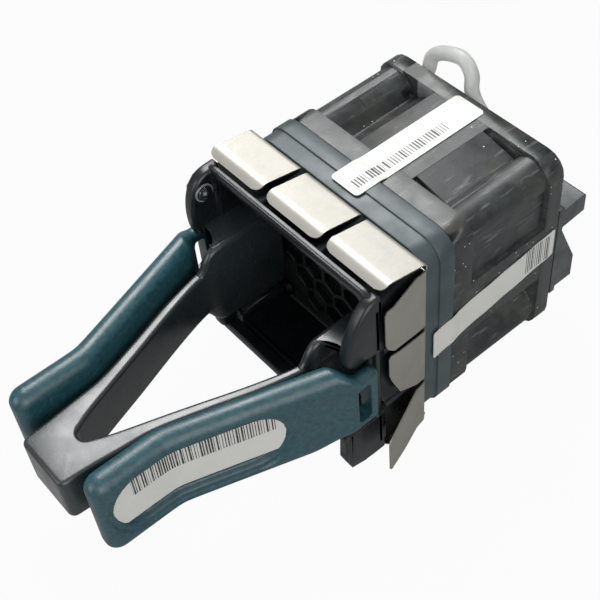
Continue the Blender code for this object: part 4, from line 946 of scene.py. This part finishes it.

# %% [markdown]
# ## Sleeve of the fan lead
#
# The fan's four thin wires come out of the rear flange near its upper left corner, arch over in a
# soft milky sleeve 2.6 mm thick and run down the rear to the plug. It is a limp cord that is held
# at both ends. Its route is drawn through listed points.

# %% Lead sleeve
marks = [(-12.5, 24.2, 17.9), (-12.7, 26.3, 18.4), (-12.3, 26.8, 21.0),
         (-9.4, 26.75, 23.4), (-5.1, 26.7, 24.7), (-2.9, 26.7, 22.6), (-2.5, 26.7, 18.8),
         (0.8, 26.6, 15.5), (6.0, 26.6, 14.4), (10.0, 26.6, 10.6), (11.0, 26.7, 4.0),
         (11.05, 27.0, -3.0), (11.05, 27.5, -8.6)]
route = [at(*p) for p in curve(marks, 6)]
tube = bpy.data.curves.new("lead_sleeve_tube", "CURVE")
tube.dimensions = "3D"
tube.bevel_depth = 0.0013
tube.bevel_resolution = 6
tube.use_fill_caps = True
line = tube.splines.new("POLY")
line.points.add(len(route) - 1)
for point, place in zip(line.points, route):
    point.co = (*place, 1.0)
tube.materials.append(sleeve_silicone)
sleeve = bpy.data.objects.new("lead_sleeve_tube", tube)
bpy.context.scene.collection.objects.link(sleeve)
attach(sleeve, "tray")
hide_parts("lead_sleeve")

# %% [markdown]
# ## Floor and light
#
# The object is shown on white, so the floor and the world are white to the camera, and a small
# share of the floor's own grey keeps a faint shadow. Reflections see only a quarter of that white
# on the floor, which keeps dark plastic dark. The light comes from a dome that is brighter
# overhead and from three soft boxes: the strongest stands high behind on the left, where its
# mirror image reaches the camera and draws the highlights on the plastic's tops, one lights the
# right side and its labels, and a weak one lights the front. A wide box gives soft shadows.

# %% Floor
floor_mesh = bpy.data.meshes.new("floor")
level = at(0, 0, -21.4).z
corners = [(-3, -3, level), (3, -3, level), (3, 3, level), (-3, 3, level)]
floor_mesh.from_pydata(corners, [], [(0, 1, 2, 3)])
floor = bpy.data.objects.new("floor", floor_mesh)
bpy.context.scene.collection.objects.link(floor)
white, tree, shader, place = start("white_floor", Roughness=0.7)
shader.inputs["Base Color"].default_value = linear("#707070")
rays = add(tree, "LightPath", {})
mirrored = add(tree, "Math", {0: rays.outputs["Is Glossy Ray"], 1: 0.25}, operation="MULTIPLY")
seen_white = add(tree, "Math", {0: rays.outputs["Is Camera Ray"], 1: 0.96, 2: mirrored.outputs[0]},
                 operation="MULTIPLY_ADD").outputs[0]
glow = add(tree, "Emission", {"Color": (1, 1, 1, 1), "Strength": 1.0})
both = add(tree, "MixShader", {0: seen_white, 1: shader.outputs[0], 2: glow.outputs[0]})
tree.links.new(both.outputs[0], tree.nodes["Material Output"].inputs[0])
floor_mesh.materials.append(white)
print("floor level in mm:", round(level * 1000, 2))

# %% Light
world = bpy.data.worlds.new("studio")
bpy.context.scene.world = world
world.use_nodes = True
tree = world.node_tree
path = add(tree, "LightPath", {})
toward = add(tree, "TexCoord", {}).outputs["Generated"]
height = add(tree, "SeparateXYZ", {0: toward}).outputs["Z"]
sky = add(tree, "MapRange", {0: height, 1: 0.0, 2: 0.95, 3: 0.22, 4: 0.55},
          interpolation_type="SMOOTHSTEP")
bright = add(tree, "Mix", {0: path.outputs["Is Camera Ray"], 2: sky.outputs[0], 3: 1.0}).outputs[0]
tree.links.new(bright, tree.nodes["Background"].inputs["Strength"])
tree.nodes["Background"].inputs["Color"].default_value = (1, 1, 1, 1)
lamps = [("overhead", (-310, 180, 530), 0.34, 4.0), ("right", (420, -160, 190), 0.4, 1.3),
         ("front", (-120, -520, 220), 0.3, 0.8)]
for name, place, size, power in lamps:
    lamp_data = bpy.data.lights.new(name, "AREA")
    lamp_data.size = size
    lamp_data.energy = power
    lamp = bpy.data.objects.new(name, lamp_data)
    bpy.context.scene.collection.objects.link(lamp)
    lamp.location = at(*place)
    lamp.rotation_euler = (at(0, -20, 0) - lamp.location).to_track_quat("-Z", "Y").to_euler()
    print(name, "box", size, "m,", power, "W")
bpy.context.scene.view_settings.view_transform = "Standard"
